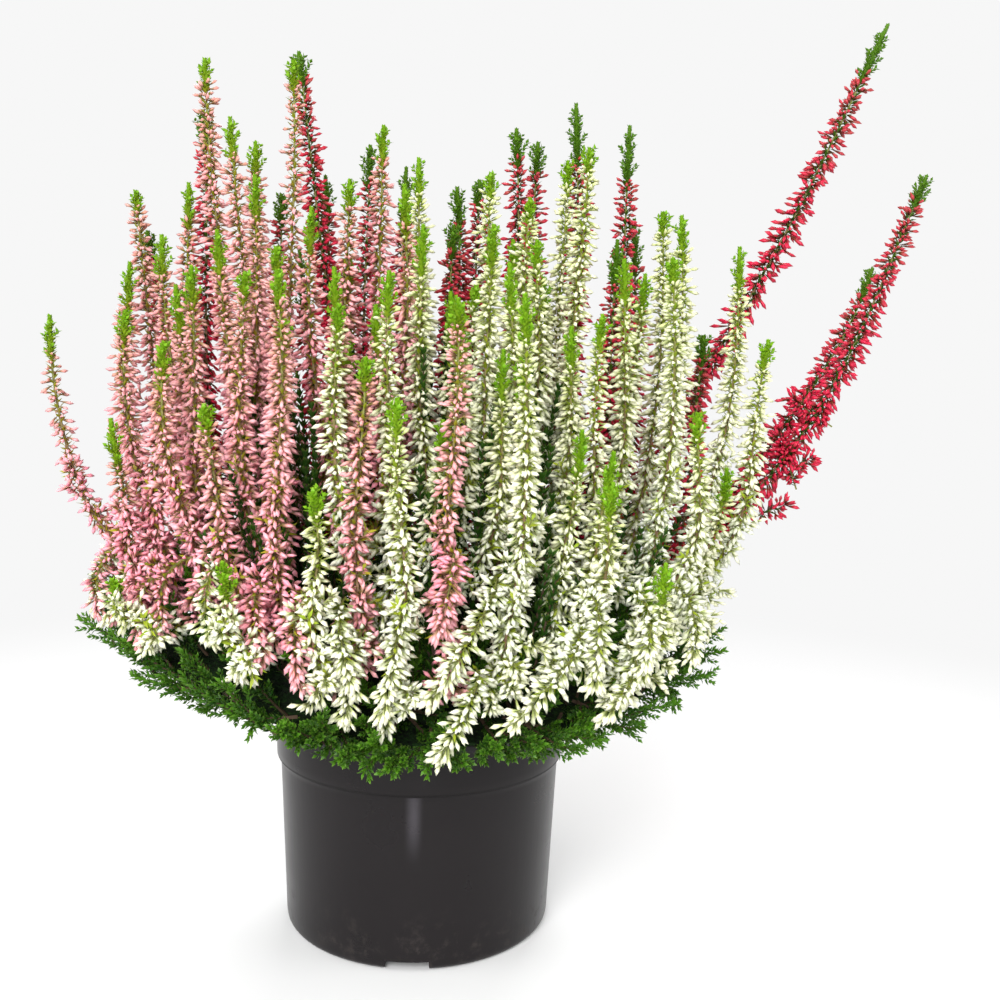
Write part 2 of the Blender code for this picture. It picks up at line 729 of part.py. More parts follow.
def sprig_fits(path, lines, first_azimuth):
    """A sprig is clear of every shoot, of the pot and of the planes between the clumps."""
    clear = path[4:]
    nearest = np.sqrt(((clear[:, None, :] - lines[None, :, :]) ** 2).sum(axis=2)).min()
    beside = np.mod(np.arctan2(clear[:, 1], clear[:, 0]) - first_azimuth, math.tau)
    reach = np.hypot(clear[:, 0], clear[:, 1])
    margin = np.minimum(beside, SECTOR - beside) * reach
    inside = (beside < SECTOR).all() and (margin > SPRIG_HALF_WIDTH + 0.002).all()
    over_pot = (reach > RIM_RADIUS + 0.004) | (clear[:, 2] > POT_HEIGHT + 0.004)
    return nearest > FLOWER_RADIUS_LOW + 0.0045 and inside and over_pot.all()


def clump_sprigs(index, shoots, draw):
    """Lines of the sprigs of one clump, each drawn near its even place until it fits."""
    first = CLUMP_FIRST_AZIMUTH + index * SECTOR
    lines = np.concatenate([shoot.line(40) for shoot in shoots])
    found = []
    for share, level, pitch, length, count in SPRIG_ROWS:
        for k in range(count):
            for _ in range(14):
                azimuth = first + SECTOR * (k + 0.5 + draw.uniform(-0.35, 0.35)) / count
                edge = float(around(EDGE_REACH, azimuth))
                reach = (share + draw.uniform(-0.04, 0.02)) * edge
                x, y = reach * math.cos(azimuth), reach * math.sin(azimuth)
                low = clump_underside(reach, azimuth)
                start = (0.90 * x, 0.90 * y, low + 0.001 + 0.003 * level)
                path = sprig_path(start, azimuth + draw.uniform(-0.3, 0.3), pitch + draw.uniform(-0.15, 0.15),
                                  length * draw.uniform(0.85, 1.15))
                if sprig_fits(path, lines, first):
                    found.append(path)
                    break
    for k in range(RIM_SPRIG_COUNT):
        azimuth = first + SECTOR * (k + 0.5) / RIM_SPRIG_COUNT
        x, y = RIM_SPRIG_REACH * math.cos(azimuth), RIM_SPRIG_REACH * math.sin(azimuth)
        start = (x, y, CLUMP_UNDERSIDE + 0.003)
        path = sprig_path(start, azimuth, RIM_SPRIG_PITCH, RIM_SPRIG_LENGTH * draw.uniform(0.9, 1.1))
        if sprig_fits(path, lines, first):
            found.append(path)
    return found


def branch_stub(shoot, collection):
    """A short woody branch from inside the clump up to the foot of a spray."""
    path = shoot.line(60)
    ahead = path[1] - path[0]
    ahead = ahead / np.linalg.norm(ahead)
    seat = path[0] - SEAT_GAP * ahead
    inside = 0.88 * seat
    inside[2] = clump_underside(math.hypot(inside[0], inside[1]), math.atan2(seat[1], seat[0])) + 0.003
    down = seat - 0.004 * ahead
    points = np.array([inside, down, seat])
    direction = np.array([down - inside, ahead, ahead])
    direction = direction / np.linalg.norm(direction, axis=1)[:, None]
    across, up = side_frames(direction)
    turn = np.arange(4) * math.tau / 4
    verts = []
    for point, right, over, radius in zip(points, across, up, (0.0030, 0.0024, 0.0022)):
        verts += [point + radius * (math.cos(a) * right + math.sin(a) * over) for a in turn]
    faces = [(3, 2, 1, 0), (8, 9, 10, 11)]
    for ring in range(2):
        for side in range(4):
            a, b = 4 * ring + side, 4 * ring + (side + 1) % 4
            faces.append((a, b, b + 4, a + 4))
    return mesh_object("stub", verts, faces, collection)


def plant_stem(place, collection):
    """The woody stem of a plant, from its hole in the soil up into its clump."""
    low = SOIL_TOP - STEM_DEPTH + SEAT_GAP
    high = CLUMP_UNDERSIDE + 0.012
    bpy.ops.mesh.primitive_cylinder_add(vertices=10, radius=STEM_RADIUS, depth=high - low)
    stem = bpy.context.object
    stem.location = (*place, (high + low) / 2)
    return stem


def sector_of(shoot):
    """The clump that a spray's foot stands on."""
    azimuth = math.atan2(shoot.foot[1], shoot.foot[0])
    return int(((azimuth - CLUMP_FIRST_AZIMUTH) % math.tau) // SECTOR)


def build_clumps(shoots, sprays, collection):
    """The three plants' leafy clumps, each with its stem, branch stubs and sprigs joined on."""
    draw = np.random.default_rng(SPRIG_SEED)
    for index, (place, colour) in enumerate(zip(stem_places(), ("red", "pink", "white"))):
        name = f"{colour}_plant_foliage"
        clump = clump_core(name, index, shoots, collection, plain_material(name, LEAF_COLOUR, 0.6))
        joined = [plant_stem(place, collection)]
        for spray in sprays:
            if sector_of(shoots[spray[0]]) == index:
                joined.append(branch_stub(shoots[spray[0]], collection))
        joined += [sprig_solid(path, collection) for path in clump_sprigs(index, shoots, draw)]
        combine(clump, joined, "UNION")


def main():
    clear_scene()
    collection = new_collection("potted_heather")
    cutters = new_collection("cutters")
    build_pot(collection, cutters)
    build_soil(collection)
    shoots = [Shoot(*row) for row in planting_plan()]
    sprays = pair_sprays(shoots)
    spread_apart(shoots, sprays)
    build_clumps(shoots, sprays, collection)
    build_sprays(shoots, sprays, collection)


main()
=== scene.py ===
"""Potted heather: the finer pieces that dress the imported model, laid out as a Blender add-on.

Units are metres, +Z is up and the pot stands on its base at the origin. Pink, white and red
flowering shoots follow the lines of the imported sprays. Each bud, leaf and twig is a small
closed shape, set many times over by whole-array arithmetic.
"""

import functools
import math

import bpy
import numpy as np
from bpy.props import FloatProperty, FloatVectorProperty, IntProperty, PointerProperty
from mathutils import Matrix


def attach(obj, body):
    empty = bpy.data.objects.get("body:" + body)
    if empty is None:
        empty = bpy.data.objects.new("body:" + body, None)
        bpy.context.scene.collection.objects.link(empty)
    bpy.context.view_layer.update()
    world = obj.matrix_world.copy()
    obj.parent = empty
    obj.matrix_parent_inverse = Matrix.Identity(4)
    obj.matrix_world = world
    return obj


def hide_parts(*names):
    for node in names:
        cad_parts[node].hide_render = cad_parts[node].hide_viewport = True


bl_info = {
    "name": "Potted Heather",
    "version": (1, 0, 0),
    "blender": (4, 5, 0),
    "location": "3D View > Sidebar > Heather",
    "description": "Dresses a packed pot of three bud heathers with buds, leaves, peat and plastic",
    "category": "Object",
}

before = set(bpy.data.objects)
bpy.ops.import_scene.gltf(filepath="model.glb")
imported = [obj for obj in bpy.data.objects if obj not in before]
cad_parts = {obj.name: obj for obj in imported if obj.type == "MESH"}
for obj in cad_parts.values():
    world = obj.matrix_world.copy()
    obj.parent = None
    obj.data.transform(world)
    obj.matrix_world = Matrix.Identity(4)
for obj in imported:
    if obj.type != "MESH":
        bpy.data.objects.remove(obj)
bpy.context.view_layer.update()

# Pot
POT_HEIGHT = 0.096
RIM_RADIUS = 0.065
BAND_RADIUS = 0.0632
BAND_BOTTOM = 0.0745
# The height of the small step from the wall out to the rim band
BAND_STEP = 0.0008
WALL_TOP_RADIUS = 0.0615
WALL_FOOT_RADIUS = 0.0583
FOOT_ROUNDING = 0.003
POT_WALL = 0.0011
POT_FLOOR = 0.0044
POT_COLUMNS = 96
CHANNEL_COUNT = 3
CHANNEL_WIDTH = 0.0185
CHANNEL_HEIGHT = 0.0039
CHANNEL_INNER_END = 0.030
DRAIN_RADIUS = 0.0040
DRAIN_REACH = 0.038
DRAIN_SIDES = 24
# A painted highlight, a pale upright streak on the pot's front: the x of its middle, and where it fades in
# and is full
PAINTED_HIGHLIGHT_PLACE = 0.002
PAINTED_HIGHLIGHT_HALF_WIDTH = 0.0042
PAINTED_HIGHLIGHT_FOOT = 0.044
PAINTED_HIGHLIGHT_FULL = BAND_BOTTOM - 0.008

# Soil and stems
SOIL_TOP = 0.087
# How far the soil's top falls at the rim, and its gap to the pot's wall. Its gap to the pot's
# floor is twice that.
SOIL_FALL = 0.003
SOIL_GAP = 0.0003
STEM_RADIUS = 0.0045
STEM_REACH = 0.022
STEM_DEPTH = 0.030

# Leafy clumps: how far out and how high their edge lies, every 45 degrees from +X round by +Y
EDGE_REACH = (0.118, 0.110, 0.098, 0.112, 0.136, 0.115, 0.092, 0.104)
EDGE_HEIGHT = (0.130, 0.136, 0.126, 0.136, 0.143, 0.128, 0.107, 0.115)
CROWN_HEIGHT = 0.156
# The top falls as this power of the share of the way to the edge, and stops falling past it
TOP_CURVE = 1.1
TOP_FALL_END = 1.15
CLUMP_UNDERSIDE = 0.0995
UNDERSIDE_CURVE = 1.3
UNDERSIDE_LEVEL_REACH = 0.070
EDGE_THICKNESS = 0.012
CLUMP_FIRST_AZIMUTH = math.radians(20)
SECTOR = math.tau / 3
CLUMP_ORDER = ("red", "pink", "white")

# Flowering shoots
BARE_STEM_LENGTH = 0.008
SEAT_PULL = 0.80
SEAT_HEIGHT = 0.006
MOST_SEAT_REACH = 0.90
LEAST_SEAT_REACH = 0.012
SEAT_FROM_PLANE = 0.0052
TURN_RISE = 0.10
LINE_POINTS = 60
# A spray's second shoot leaves its first after this share of the bare stem
FORK_SHARE = 0.75
SHOOT_CLEARANCE = 0.0135
SPREAD_ROUNDS = 160
SPREAD_POINTS = 18
SPREAD_BIAS = (0.55, 1.0)
# The two shoots of a spray may lie close over this share of their points, from the foot up
FORKED_SHARE = 0.4
ARCHED_YIELD = 0.2
MOST_SPRAYS = 54

# Shoots: x and y of the stretch where a shoot turns upright, the height of its tip, and how
# far the tip leans to the right of that stretch. In depth the tip lies at this share of y.
TIP_DEPTH_SHARE = 0.98
PINK_SHOOTS = (
    (-0.151, -0.005, 0.261, -0.009),
    (-0.134, 0.010, 0.286, 0.000),
    (-0.131, 0.032, 0.320, -0.006),
    (-0.112, 0.034, 0.325, -0.003),
    (-0.094, 0.022, 0.377, -0.006),
    (-0.080, 0.004, 0.347, -0.005),
    (-0.078, 0.034, 0.344, -0.003),
    (-0.061, 0.012, 0.374, -0.002),
    (-0.020, 0.024, 0.351, -0.004),
    (-0.046, -0.016, 0.308, -0.002),
    (-0.034, 0.004, 0.323, -0.003),
    (-0.080, -0.030, 0.295, -0.002),
    (-0.089, -0.048, 0.279, -0.002),
    (-0.119, -0.032, 0.263, -0.001),
    (-0.092, -0.066, 0.249, -0.003),
    (-0.066, -0.062, 0.276, -0.001),
    (-0.046, -0.088, 0.274, -0.003),
    (-0.030, -0.052, 0.279, -0.001),
    (-0.123, -0.054, 0.219, -0.001),
    (-0.017, -0.090, 0.244, -0.001),
    (0.017, -0.094, 0.265, -0.002),
    (-0.107, -0.008, 0.296, -0.004),
    (-0.060, -0.038, 0.288, 0.001),
    (-0.072, -0.088, 0.226, -0.002),
)
WHITE_SHOOTS = (
    (-0.002, 0.002, 0.332, -0.001),
    (0.003, -0.038, 0.299, -0.004),
    (-0.027, -0.074, 0.264, -0.002),
    (-0.007, -0.066, 0.277, -0.002),
    (-0.001, -0.104, 0.230, 0.000),
    (0.028, 0.012, 0.329, -0.001),
    (0.029, -0.030, 0.301, -0.002),
    (0.040, -0.096, 0.267, 0.001),
    (0.059, 0.030, 0.338, -0.001),
    (0.066, 0.005, 0.339, 0.000),
    (0.084, -0.020, 0.289, 0.000),
    (0.104, 0.024, 0.315, -0.001),
    (0.111, 0.002, 0.310, -0.002),
    (0.104, -0.032, 0.288, -0.004),
    (0.070, -0.088, 0.201, 0.006),
    (0.091, -0.066, 0.163, 0.002),
    (0.058, -0.072, 0.220, 0.003),
    (0.114, -0.050, 0.227, -0.002),
    (0.127, -0.020, 0.203, -0.001),
    (0.134, 0.016, 0.299, 0.004),
    (0.143, -0.002, 0.258, 0.005),
    (-0.032, -0.104, 0.199, 0.000),
    (-0.062, -0.102, 0.172, -0.003),
    (-0.110, -0.074, 0.160, -0.004),
    (0.094, -0.086, 0.172, 0.002),
    (0.018, -0.062, 0.262, 0.000),
    (0.072, -0.046, 0.264, 0.000),
    (0.048, -0.020, 0.296, 0.000),
)
RED_SHOOTS = (
    (-0.044, 0.050, 0.389, -0.022),
    (-0.126, 0.052, 0.305, -0.010),
    (-0.110, 0.060, 0.363, -0.005),
    (-0.076, 0.062, 0.326, -0.002),
    (-0.053, 0.068, 0.336, -0.001),
    (-0.034, 0.076, 0.353, -0.003),
    (-0.014, 0.056, 0.339, -0.001),
    (-0.058, 0.036, 0.296, -0.002),
    (0.012, 0.048, 0.328, -0.003),
    (0.022, 0.072, 0.337, -0.002),
    (0.039, 0.048, 0.355, -0.003),
    (0.050, 0.072, 0.356, -0.002),
    (0.068, 0.058, 0.370, -0.003),
    (0.084, 0.044, 0.357, 0.007),
    (0.086, 0.020, 0.302, -0.003),
    (0.101, 0.056, 0.317, -0.001),
    (0.124, 0.042, 0.262, 0.002),
)
# Three long red shoots arch out to the right: where each turns upwards, and its tip
ARCHED_SHOOTS = (
    ((0.112, 0.052, 0.205), (0.212, 0.060, 0.411)),
    ((0.150, 0.056, 0.158), (0.241, 0.078, 0.345)),
    ((0.158, 0.076, 0.190), (0.223, 0.098, 0.302)),
)

# Shoots behind and between those: a jittered lattice, with its columns counted each way from
# the middle and its rows closer than its columns by a share. Tips lean outwards by a share.
FILL_COLUMNS = 6
FILL_PITCH = 0.022
FILL_ROW_SHARE = 0.87
FILL_JITTER = 0.003
FILL_FRONT = -0.045
FILL_LEAN = 1.04
FILL_REACH = (0.128, 0.114)
FILL_SPACING = 0.0185
FILL_HEIGHT = 0.315
FILL_DROP = 0.080
FILL_HEIGHT_JITTER = 0.02
FILL_SEED = 5
# Azimuths, in degrees, where the lattice's shoots turn from white to red, from red to pink and
# from pink to white
RED_START, PINK_START, WHITE_START = 15, 128, -110

# Two pink shoots are thin of flower: their places among the pink shoots
SPARSE_PINKS = (0, 7)

# How buds stand along a shoot, from its foot to its tip: the turn from one to the next, then
# share of the way, and the angle above the level across the stem
GOLDEN_ANGLE = math.tau * (1 - 1 / ((1 + math.sqrt(5)) / 2))
BUD_LIFT_PLACES = (0.0, 0.10, 0.50, 0.85, 1.0)
BUD_LIFT = tuple(map(math.radians, (-62, -34, -24, -8, 28)))
HANGING_LIFT_PLACES = (0.0, 0.6, 1.0)
HANGING_LIFT = tuple(map(math.radians, (4, 26, 58)))
# Shoots well inside the plant carry no buds low down, where only leaves reach the light
INNER_REACH = 0.062
INNER_LEAFY_SHARE = 0.20
# Shorter shoots that fork off the others, where there is most room: how many, how far beside
# them, in how many directions they are tried, the ellipse that they stand in, their height as a
# share of their parent's, how far they follow its lean, and the point where they leave its line
SIDE_SHOOTS = 19
SIDE_SHOOT_REACH = 0.017
SIDE_SHOOT_TURNS = 12
SIDE_SHOOT_MIDDLE = (-0.004, -0.030)
SIDE_SHOOT_EXTENT = (0.124, 0.064)
SIDE_SHOOT_HEIGHTS = (0.62, 0.90)
SIDE_SHOOT_LEAN = 0.6
SIDE_SHOOT_FORK = 5
SIDE_SHOOT_SEED = 9
# Shoots sway a little off their packed lines: the radius of the sway at the tip. A large number
# turns where a shoot stands into an angle of its own, where its sway starts.
SWAY = 0.0022
OWN_ANGLE_SCALE = 1e4
# How far the middle and the tip of some shoots lie to the right of their packed lines: colour,
# place among the shoots of that colour, middle, tip
NUDGED_SHOOTS = {
    ("pink", 0): (-0.008, 0.0),
    ("pink", 18): (0.003, 0.007),
    ("red", 0): (0.006, 0.0),
    ("red", 17): (0.003, 0.004),
    ("red", 18): (0.009, 0.001),
    ("red", 19): (0.009, 0.0),
}
# Flower clusters that hang over the skirt in front, and red ones that stand out from the
# lower long shoot: colour, where each starts and ends
HANGING_CLUSTERS = (
    ("white", (0.037, -0.095, 0.166), (0.011, -0.108, 0.127)),
    ("white", (0.030, -0.104, 0.132), (0.014, -0.104, 0.105)),
    ("white", (0.071, -0.097, 0.147), (0.039, -0.106, 0.118)),
    ("white", (0.094, -0.086, 0.160), (0.086, -0.094, 0.136)),
    ("white", (0.114, -0.060, 0.158), (0.108, -0.068, 0.134)),
    ("white", (0.000, -0.102, 0.161), (-0.006, -0.106, 0.120)),
    ("white", (-0.018, -0.098, 0.145), (-0.020, -0.101, 0.117)),
    ("white", (0.074, -0.092, 0.161), (0.068, -0.099, 0.131)),
    ("white", (-0.077, -0.086, 0.170), (-0.071, -0.092, 0.142)),
    ("white", (-0.119, -0.046, 0.162), (-0.122, -0.052, 0.140)),
    ("pink", (-0.122, -0.044, 0.164), (-0.119, -0.050, 0.141)),
    ("pink", (-0.100, -0.066, 0.165), (-0.093, -0.073, 0.141)),
    ("white", (0.092, -0.090, 0.140), (0.073, -0.098, 0.120)),
    ("white", (-0.026, -0.100, 0.156), (-0.017, -0.104, 0.129)),
    ("pink", (-0.042, -0.098, 0.159), (-0.036, -0.103, 0.130)),
    ("white", (-0.145, -0.012, 0.160), (-0.136, -0.024, 0.140)),
    ("pink", (-0.143, -0.016, 0.163), (-0.134, -0.028, 0.138)),
    ("pink", (-0.110, -0.060, 0.160), (-0.104, -0.066, 0.134)),
    ("pink", (0.019, -0.101, 0.175), (0.013, -0.106, 0.151)),
    ("pink", (-0.059, -0.092, 0.163), (-0.050, -0.097, 0.139)),
    ("red", (0.194, 0.062, 0.222), (0.174, 0.058, 0.234)),
    ("red", (0.179, 0.062, 0.192), (0.169, 0.060, 0.219)),
    ("red", (0.178, 0.064, 0.199), (0.188, 0.066, 0.205)),
    ("red", (0.161, 0.060, 0.176), (0.175, 0.062, 0.182)),
)
# Those that end left of this x are thin of flower
THIN_CLUSTERS_END = -0.065
# Size and step of the buds there, and on the others
THIN_CLUSTER = (0.84, 1.30)
FULL_CLUSTER = (0.95, 0.78)
LEAVES_IN_RING = 3
FLOWER_SEED = 21
GREEN_SEED = 33
SKIRT_SEED = 47

# The skirt, from the pot's rim out to the edge and back over the top: share of the way round,
# and how steeply sprigs point up there
SKIRT_PLACES = (0.0, 0.25, 0.50, 0.75, 1.0)
SKIRT_PITCH = tuple(map(math.radians, (-50, -14, 18, 40, 62)))
# How much more steeply they do, every 45 degrees from +X round by +Y
SKIRT_TILT = tuple(map(math.radians, (-8, 0, 0, 6, 20, 4, -14, -24)))
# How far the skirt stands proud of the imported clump, where it starts at the pot's rim, and the
# share of its reach that it goes back over the top
SKIRT_PROUD = 0.004
SKIRT_START = 0.066
SKIRT_BACK = 0.42
# The shares of a sprig's length inside and outside the skirt's surface
SPRIG_INSIDE = 0.55
SPRIG_OUTSIDE = 0.45
GOLDEN_SHARE = 0.618034
SPRIG_TWIGS = 8
# Upright leafy twigs over each plant's crown
INNER_SPRIGS = 42
BRANCHES = 9

# The camera, from the perspective of the pot's rim and foot in the photograph
CAMERA_PLACE = (0.0331, -0.4818, 0.2340)
CAMERA_DOWN = math.radians(5.62)
CAMERA_ROLL = math.radians(1.38)
CAMERA_LENS = 39.6
# What the lights face
LIT_POINT = (0.02, 0.0, 0.20)
POT_MIDDLE = (0.0, 0.0, 0.06)
# The front light's place, what it faces and its width and height, and the same of the others
# with their shares of the side lights' power. The strip light adds only gleams.
FRONT_LIGHT = ((-0.25, -1.40, 0.82), LIT_POINT, (0.9, 0.9))
SIDE_LIGHTS = {
    "strip_light": ((0.05, -1.50, 0.42), POT_MIDDLE, (0.06, 0.5), 1.2),
    "left_light": ((-1.30, -0.35, 0.85), LIT_POINT, (0.8, 0.8), 1.0),
    "right_light": ((1.35, -0.25, 0.85), LIT_POINT, (0.8, 0.8), 1.0),
    "back_light": ((0.15, 1.35, 1.00), LIT_POINT, (1.0, 0.8), 2.2),
}
# The floor's profile, and how far it lies below the pot
FLOOR_PROFILE = [(0.0, 0.0), (0.5, 0.0), (1.5, 0.0), (6.0, 0.0), (6.0, -0.01), (0.0, -0.01)]
FLOOR_GAP = 0.0002


# Settings


class HeatherSizes(bpy.types.PropertyGroup):
    """Sizes of the small things that the plant is made of."""

    bud_length: FloatProperty(
        name="Bud reach", description="From the stem to the tip of a bud low on a shoot",
        default=0.0074, unit="LENGTH", precision=5)
    bud_radius: FloatProperty(
        name="Bud radius", description="Half the width of a bud near the foot of a shoot",
        default=0.00112, unit="LENGTH", precision=5)
    bud_step: FloatProperty(
        name="Bud step", description="Distance along a shoot from one bud to the next",
        default=0.00040, unit="LENGTH", precision=5)
    tip_length: FloatProperty(
        name="Leafy tip", description="Length of the leafy tip of a pink or white shoot",
        default=0.0155, unit="LENGTH", precision=4)
    leaf_length: FloatProperty(
        name="Leaf length", description="Length of a scale leaf",
        default=0.0036, unit="LENGTH", precision=5)
    sprig_length: FloatProperty(
        name="Sprig length", description="Length of a leafy sprig of the skirt",
        default=0.031, unit="LENGTH", precision=4)
    sprig_count: IntProperty(
        name="Sprigs", description="Leafy sprigs in each plant's skirt", default=108, min=3)


class HeatherColours(bpy.types.PropertyGroup):
    """Colours of the buds, leaves, pot and soil."""

    pink_pale: FloatVectorProperty(
        name="Pale pink", description="Pink buds high on a shoot",
        subtype="COLOR", default=(0.94, 0.35, 0.36))
    pink_deep: FloatVectorProperty(
        name="Deep pink", description="Pink buds low on a shoot",
        subtype="COLOR", default=(0.97, 0.21, 0.34))
    white_pale: FloatVectorProperty(
        name="Cream", description="White buds in the light",
        subtype="COLOR", default=(0.93, 0.92, 0.62))
    # Painted shade: the cooler, greyer white low on the white shoots stands in for the shade there
    white_deep: FloatVectorProperty(
        name="Cool white", description="White buds low on a shoot",
        subtype="COLOR", default=(0.79, 0.84, 0.69))
    red_pale: FloatVectorProperty(
        name="Rose red", description="Red buds high on a shoot",
        subtype="COLOR", default=(0.64, 0.012, 0.056))
    red_deep: FloatVectorProperty(
        name="Crimson", description="Red buds low on a shoot",
        subtype="COLOR", default=(0.52, 0.005, 0.032))
    bright_leaf: FloatVectorProperty(
        name="Bright leaf", description="Leafy tips of the pink and white shoots",
        subtype="COLOR", default=(0.160, 0.36, 0.007))
    dark_leaf: FloatVectorProperty(
        name="Dark leaf", description="Leafy tips of the red shoots",
        subtype="COLOR", default=(0.085, 0.200, 0.008))
    skirt_leaf: FloatVectorProperty(
        name="Skirt leaf", description="Leaves of the skirt",
        subtype="COLOR", default=(0.012, 0.060, 0.003))
    skirt_tip: FloatVectorProperty(
        name="Skirt tip", description="Young tips of the skirt's sprigs",
        subtype="COLOR", default=(0.070, 0.20, 0.007))
    bark: FloatVectorProperty(
        name="Bark", description="Woody stems", subtype="COLOR", default=(0.080, 0.048, 0.028))
    plastic: FloatVectorProperty(
        name="Plastic", description="The nursery pot",
        subtype="COLOR", default=(0.0072, 0.0056, 0.0062))
    peat: FloatVectorProperty(
        name="Peat", description="The moist peat soil",
        subtype="COLOR", default=(0.045, 0.027, 0.017))


class HeatherStudio(bpy.types.PropertyGroup):
    """The floor and the light."""

    floor_colour: FloatVectorProperty(
        name="Floor", description="Pale studio floor", subtype="COLOR", default=(0.80, 0.80, 0.80))
    key_power: FloatProperty(
        name="Front light", description="Power of the large soft light in front",
        default=32.0, unit="POWER")
    side_power: FloatProperty(
        name="Side lights", description="Power of each side light, which the back light follows",
        default=7.0, unit="POWER")
    sky_strength: FloatProperty(
        name="Surround", description="Strength of the even light from all round", default=0.56)
    backdrop: FloatProperty(
        name="Backdrop", description="Brightness of the plain backdrop behind the pot", default=0.93)


# Where the shoots stand


def parabola(start, turn, stop, count):
    """Points on the parabola that leaves start towards turn and arrives at stop."""
    share = np.linspace(0, 1, count)[:, None]
    return (1 - share) ** 2 * start + 2 * share * (1 - share) * turn + share**2 * stop


def around(values, azimuth):
    """A value given every 45 degrees, blended smoothly to any azimuth."""
    place = np.mod(azimuth, math.tau) / (math.tau / len(values))
    first = np.floor(place).astype(int) % len(values)
    share = place - np.floor(place)
    share = share * share * (3 - 2 * share)
    table = np.asarray(values)
    return table[first] * (1 - share) + table[(first + 1) % len(values)] * share


def clump_top(x, y):
    """Height of the foliage's upper surface: the crown, falling evenly to the edge."""
    azimuth = np.arctan2(y, x)
    share = np.minimum(np.hypot(x, y) / around(EDGE_REACH, azimuth), TOP_FALL_END)
    return CROWN_HEIGHT + (around(EDGE_HEIGHT, azimuth) - CROWN_HEIGHT) * share**TOP_CURVE


def clump_underside(reach, azimuth):
    """Height of the foliage's underside: level over the pot's rim, then rising to the edge."""
    edge = around(EDGE_REACH, azimuth)
    beyond = np.maximum(reach - UNDERSIDE_LEVEL_REACH, 0.0) / (edge - UNDERSIDE_LEVEL_REACH)
    rise = around(EDGE_HEIGHT, azimuth) - EDGE_THICKNESS - CLUMP_UNDERSIDE
    return CLUMP_UNDERSIDE + rise * beyond**UNDERSIDE_CURVE


def stem_place(index):
    """Where a plant's stem stands in the soil."""
    azimuth = CLUMP_FIRST_AZIMUTH + (index + 0.5) * SECTOR
    return STEM_REACH * math.cos(azimuth), STEM_REACH * math.sin(azimuth)


def fill_shoots(placed):
    """Shoots on a jittered lattice, kept where no placed shoot stands near, shorter outwards."""
    draw = np.random.default_rng(FILL_SEED)
    homes = [(shoot[1][0], shoot[1][1]) for shoot in placed]
    found = []
    rows = int(FILL_REACH[1] / FILL_PITCH) + 1
    for row in range(-rows, rows + 1):
        for column in range(-FILL_COLUMNS, FILL_COLUMNS + 1):
            x = (column + 0.5 * (row % 2)) * FILL_PITCH + draw.uniform(-FILL_JITTER, FILL_JITTER)
            y = row * FILL_PITCH * FILL_ROW_SHARE + draw.uniform(-FILL_JITTER, FILL_JITTER)
            share = math.hypot(x / FILL_REACH[0], y / FILL_REACH[1])
            height = FILL_HEIGHT - FILL_DROP * share**2
            height += draw.uniform(-FILL_HEIGHT_JITTER, FILL_HEIGHT_JITTER)
            crowded = any(math.hypot(x - a, y - b) < FILL_SPACING for a, b in homes)
            if share > 1 or crowded or y < FILL_FRONT:
                continue
            colour = lattice_colour(math.degrees(math.atan2(y, x)))
            homes.append((x, y))
            found.append((colour, (x, y), (x * FILL_LEAN, y * FILL_LEAN, height), None))
    return found


def lattice_colour(azimuth):
    """Which plant a shoot of the lattice belongs to, by its azimuth in degrees."""
    if RED_START < azimuth < PINK_START:
        return "red"
    return "white" if WHITE_START < azimuth <= RED_START else "pink"


def planting_plan():
    """Every shoot: its colour, where it turns upright, its tip, and how high it turns."""
    shoots = []
    for colour, rows in (("pink", PINK_SHOOTS), ("white", WHITE_SHOOTS), ("red", RED_SHOOTS)):
        for x, y, top, lean in rows:
            shoots.append((colour, (x, y), (x + lean, y * TIP_DEPTH_SHARE, top), None))
    for turn, tip in ARCHED_SHOOTS:
        shoots.append(("red", turn[:2], tip, turn[2]))
    return shoots + fill_shoots(shoots)


class Shoot:
    """One flowering shoot: a bent line from its foot, out over the clump and up to its tip."""

    def __init__(self, colour, home, tip, turn_height):
        self.colour = colour
        self.home = np.array(home)
        self.tip = np.array(tip)
        self.turn_height = turn_height
        self.foot = None
        self.fork = None
        self.sparse = False
        self.nudge = (0.0, 0.0)
        self.spray = ""

    def place_foot(self, spot):
        """Put the foot over a spot of the foliage, clear of the planes between the clumps."""
        azimuth = math.atan2(spot[1], spot[0])
        reach = min(math.hypot(*spot), MOST_SEAT_REACH * float(around(EDGE_REACH, azimuth)))
        reach = max(reach, LEAST_SEAT_REACH)
        beside = (azimuth - CLUMP_FIRST_AZIMUTH + SECTOR / 2) % SECTOR - SECTOR / 2
        least = SEAT_FROM_PLANE / reach
        if abs(beside) < least:
            azimuth += math.copysign(least, beside) - beside
        x, y = reach * math.cos(azimuth), reach * math.sin(azimuth)
        self.foot = np.array([x, y, float(clump_top(x, y)) + SEAT_HEIGHT])

    def line(self, count):
        """The parabola from the foot, or the fork, towards the turn and up to the tip."""
        start = self.foot if self.fork is None else self.fork
        rise = self.tip[2] - start[2]
        height = start[2] + TURN_RISE * rise if self.turn_height is None else self.turn_height
        return parabola(start, np.array([*self.home, height]), self.tip, count)

    def own_angle(self):
        """An angle that differs from shoot to shoot, from where each stands."""
        return OWN_ANGLE_SCALE * float(self.home[0])

    def shift(self, step):
        """Move the upright stretch and the tip sideways together. A long arched one yields less."""
        if self.turn_height is not None:
            step = ARCHED_YIELD * step
        self.home += step
        self.tip[:2] += step


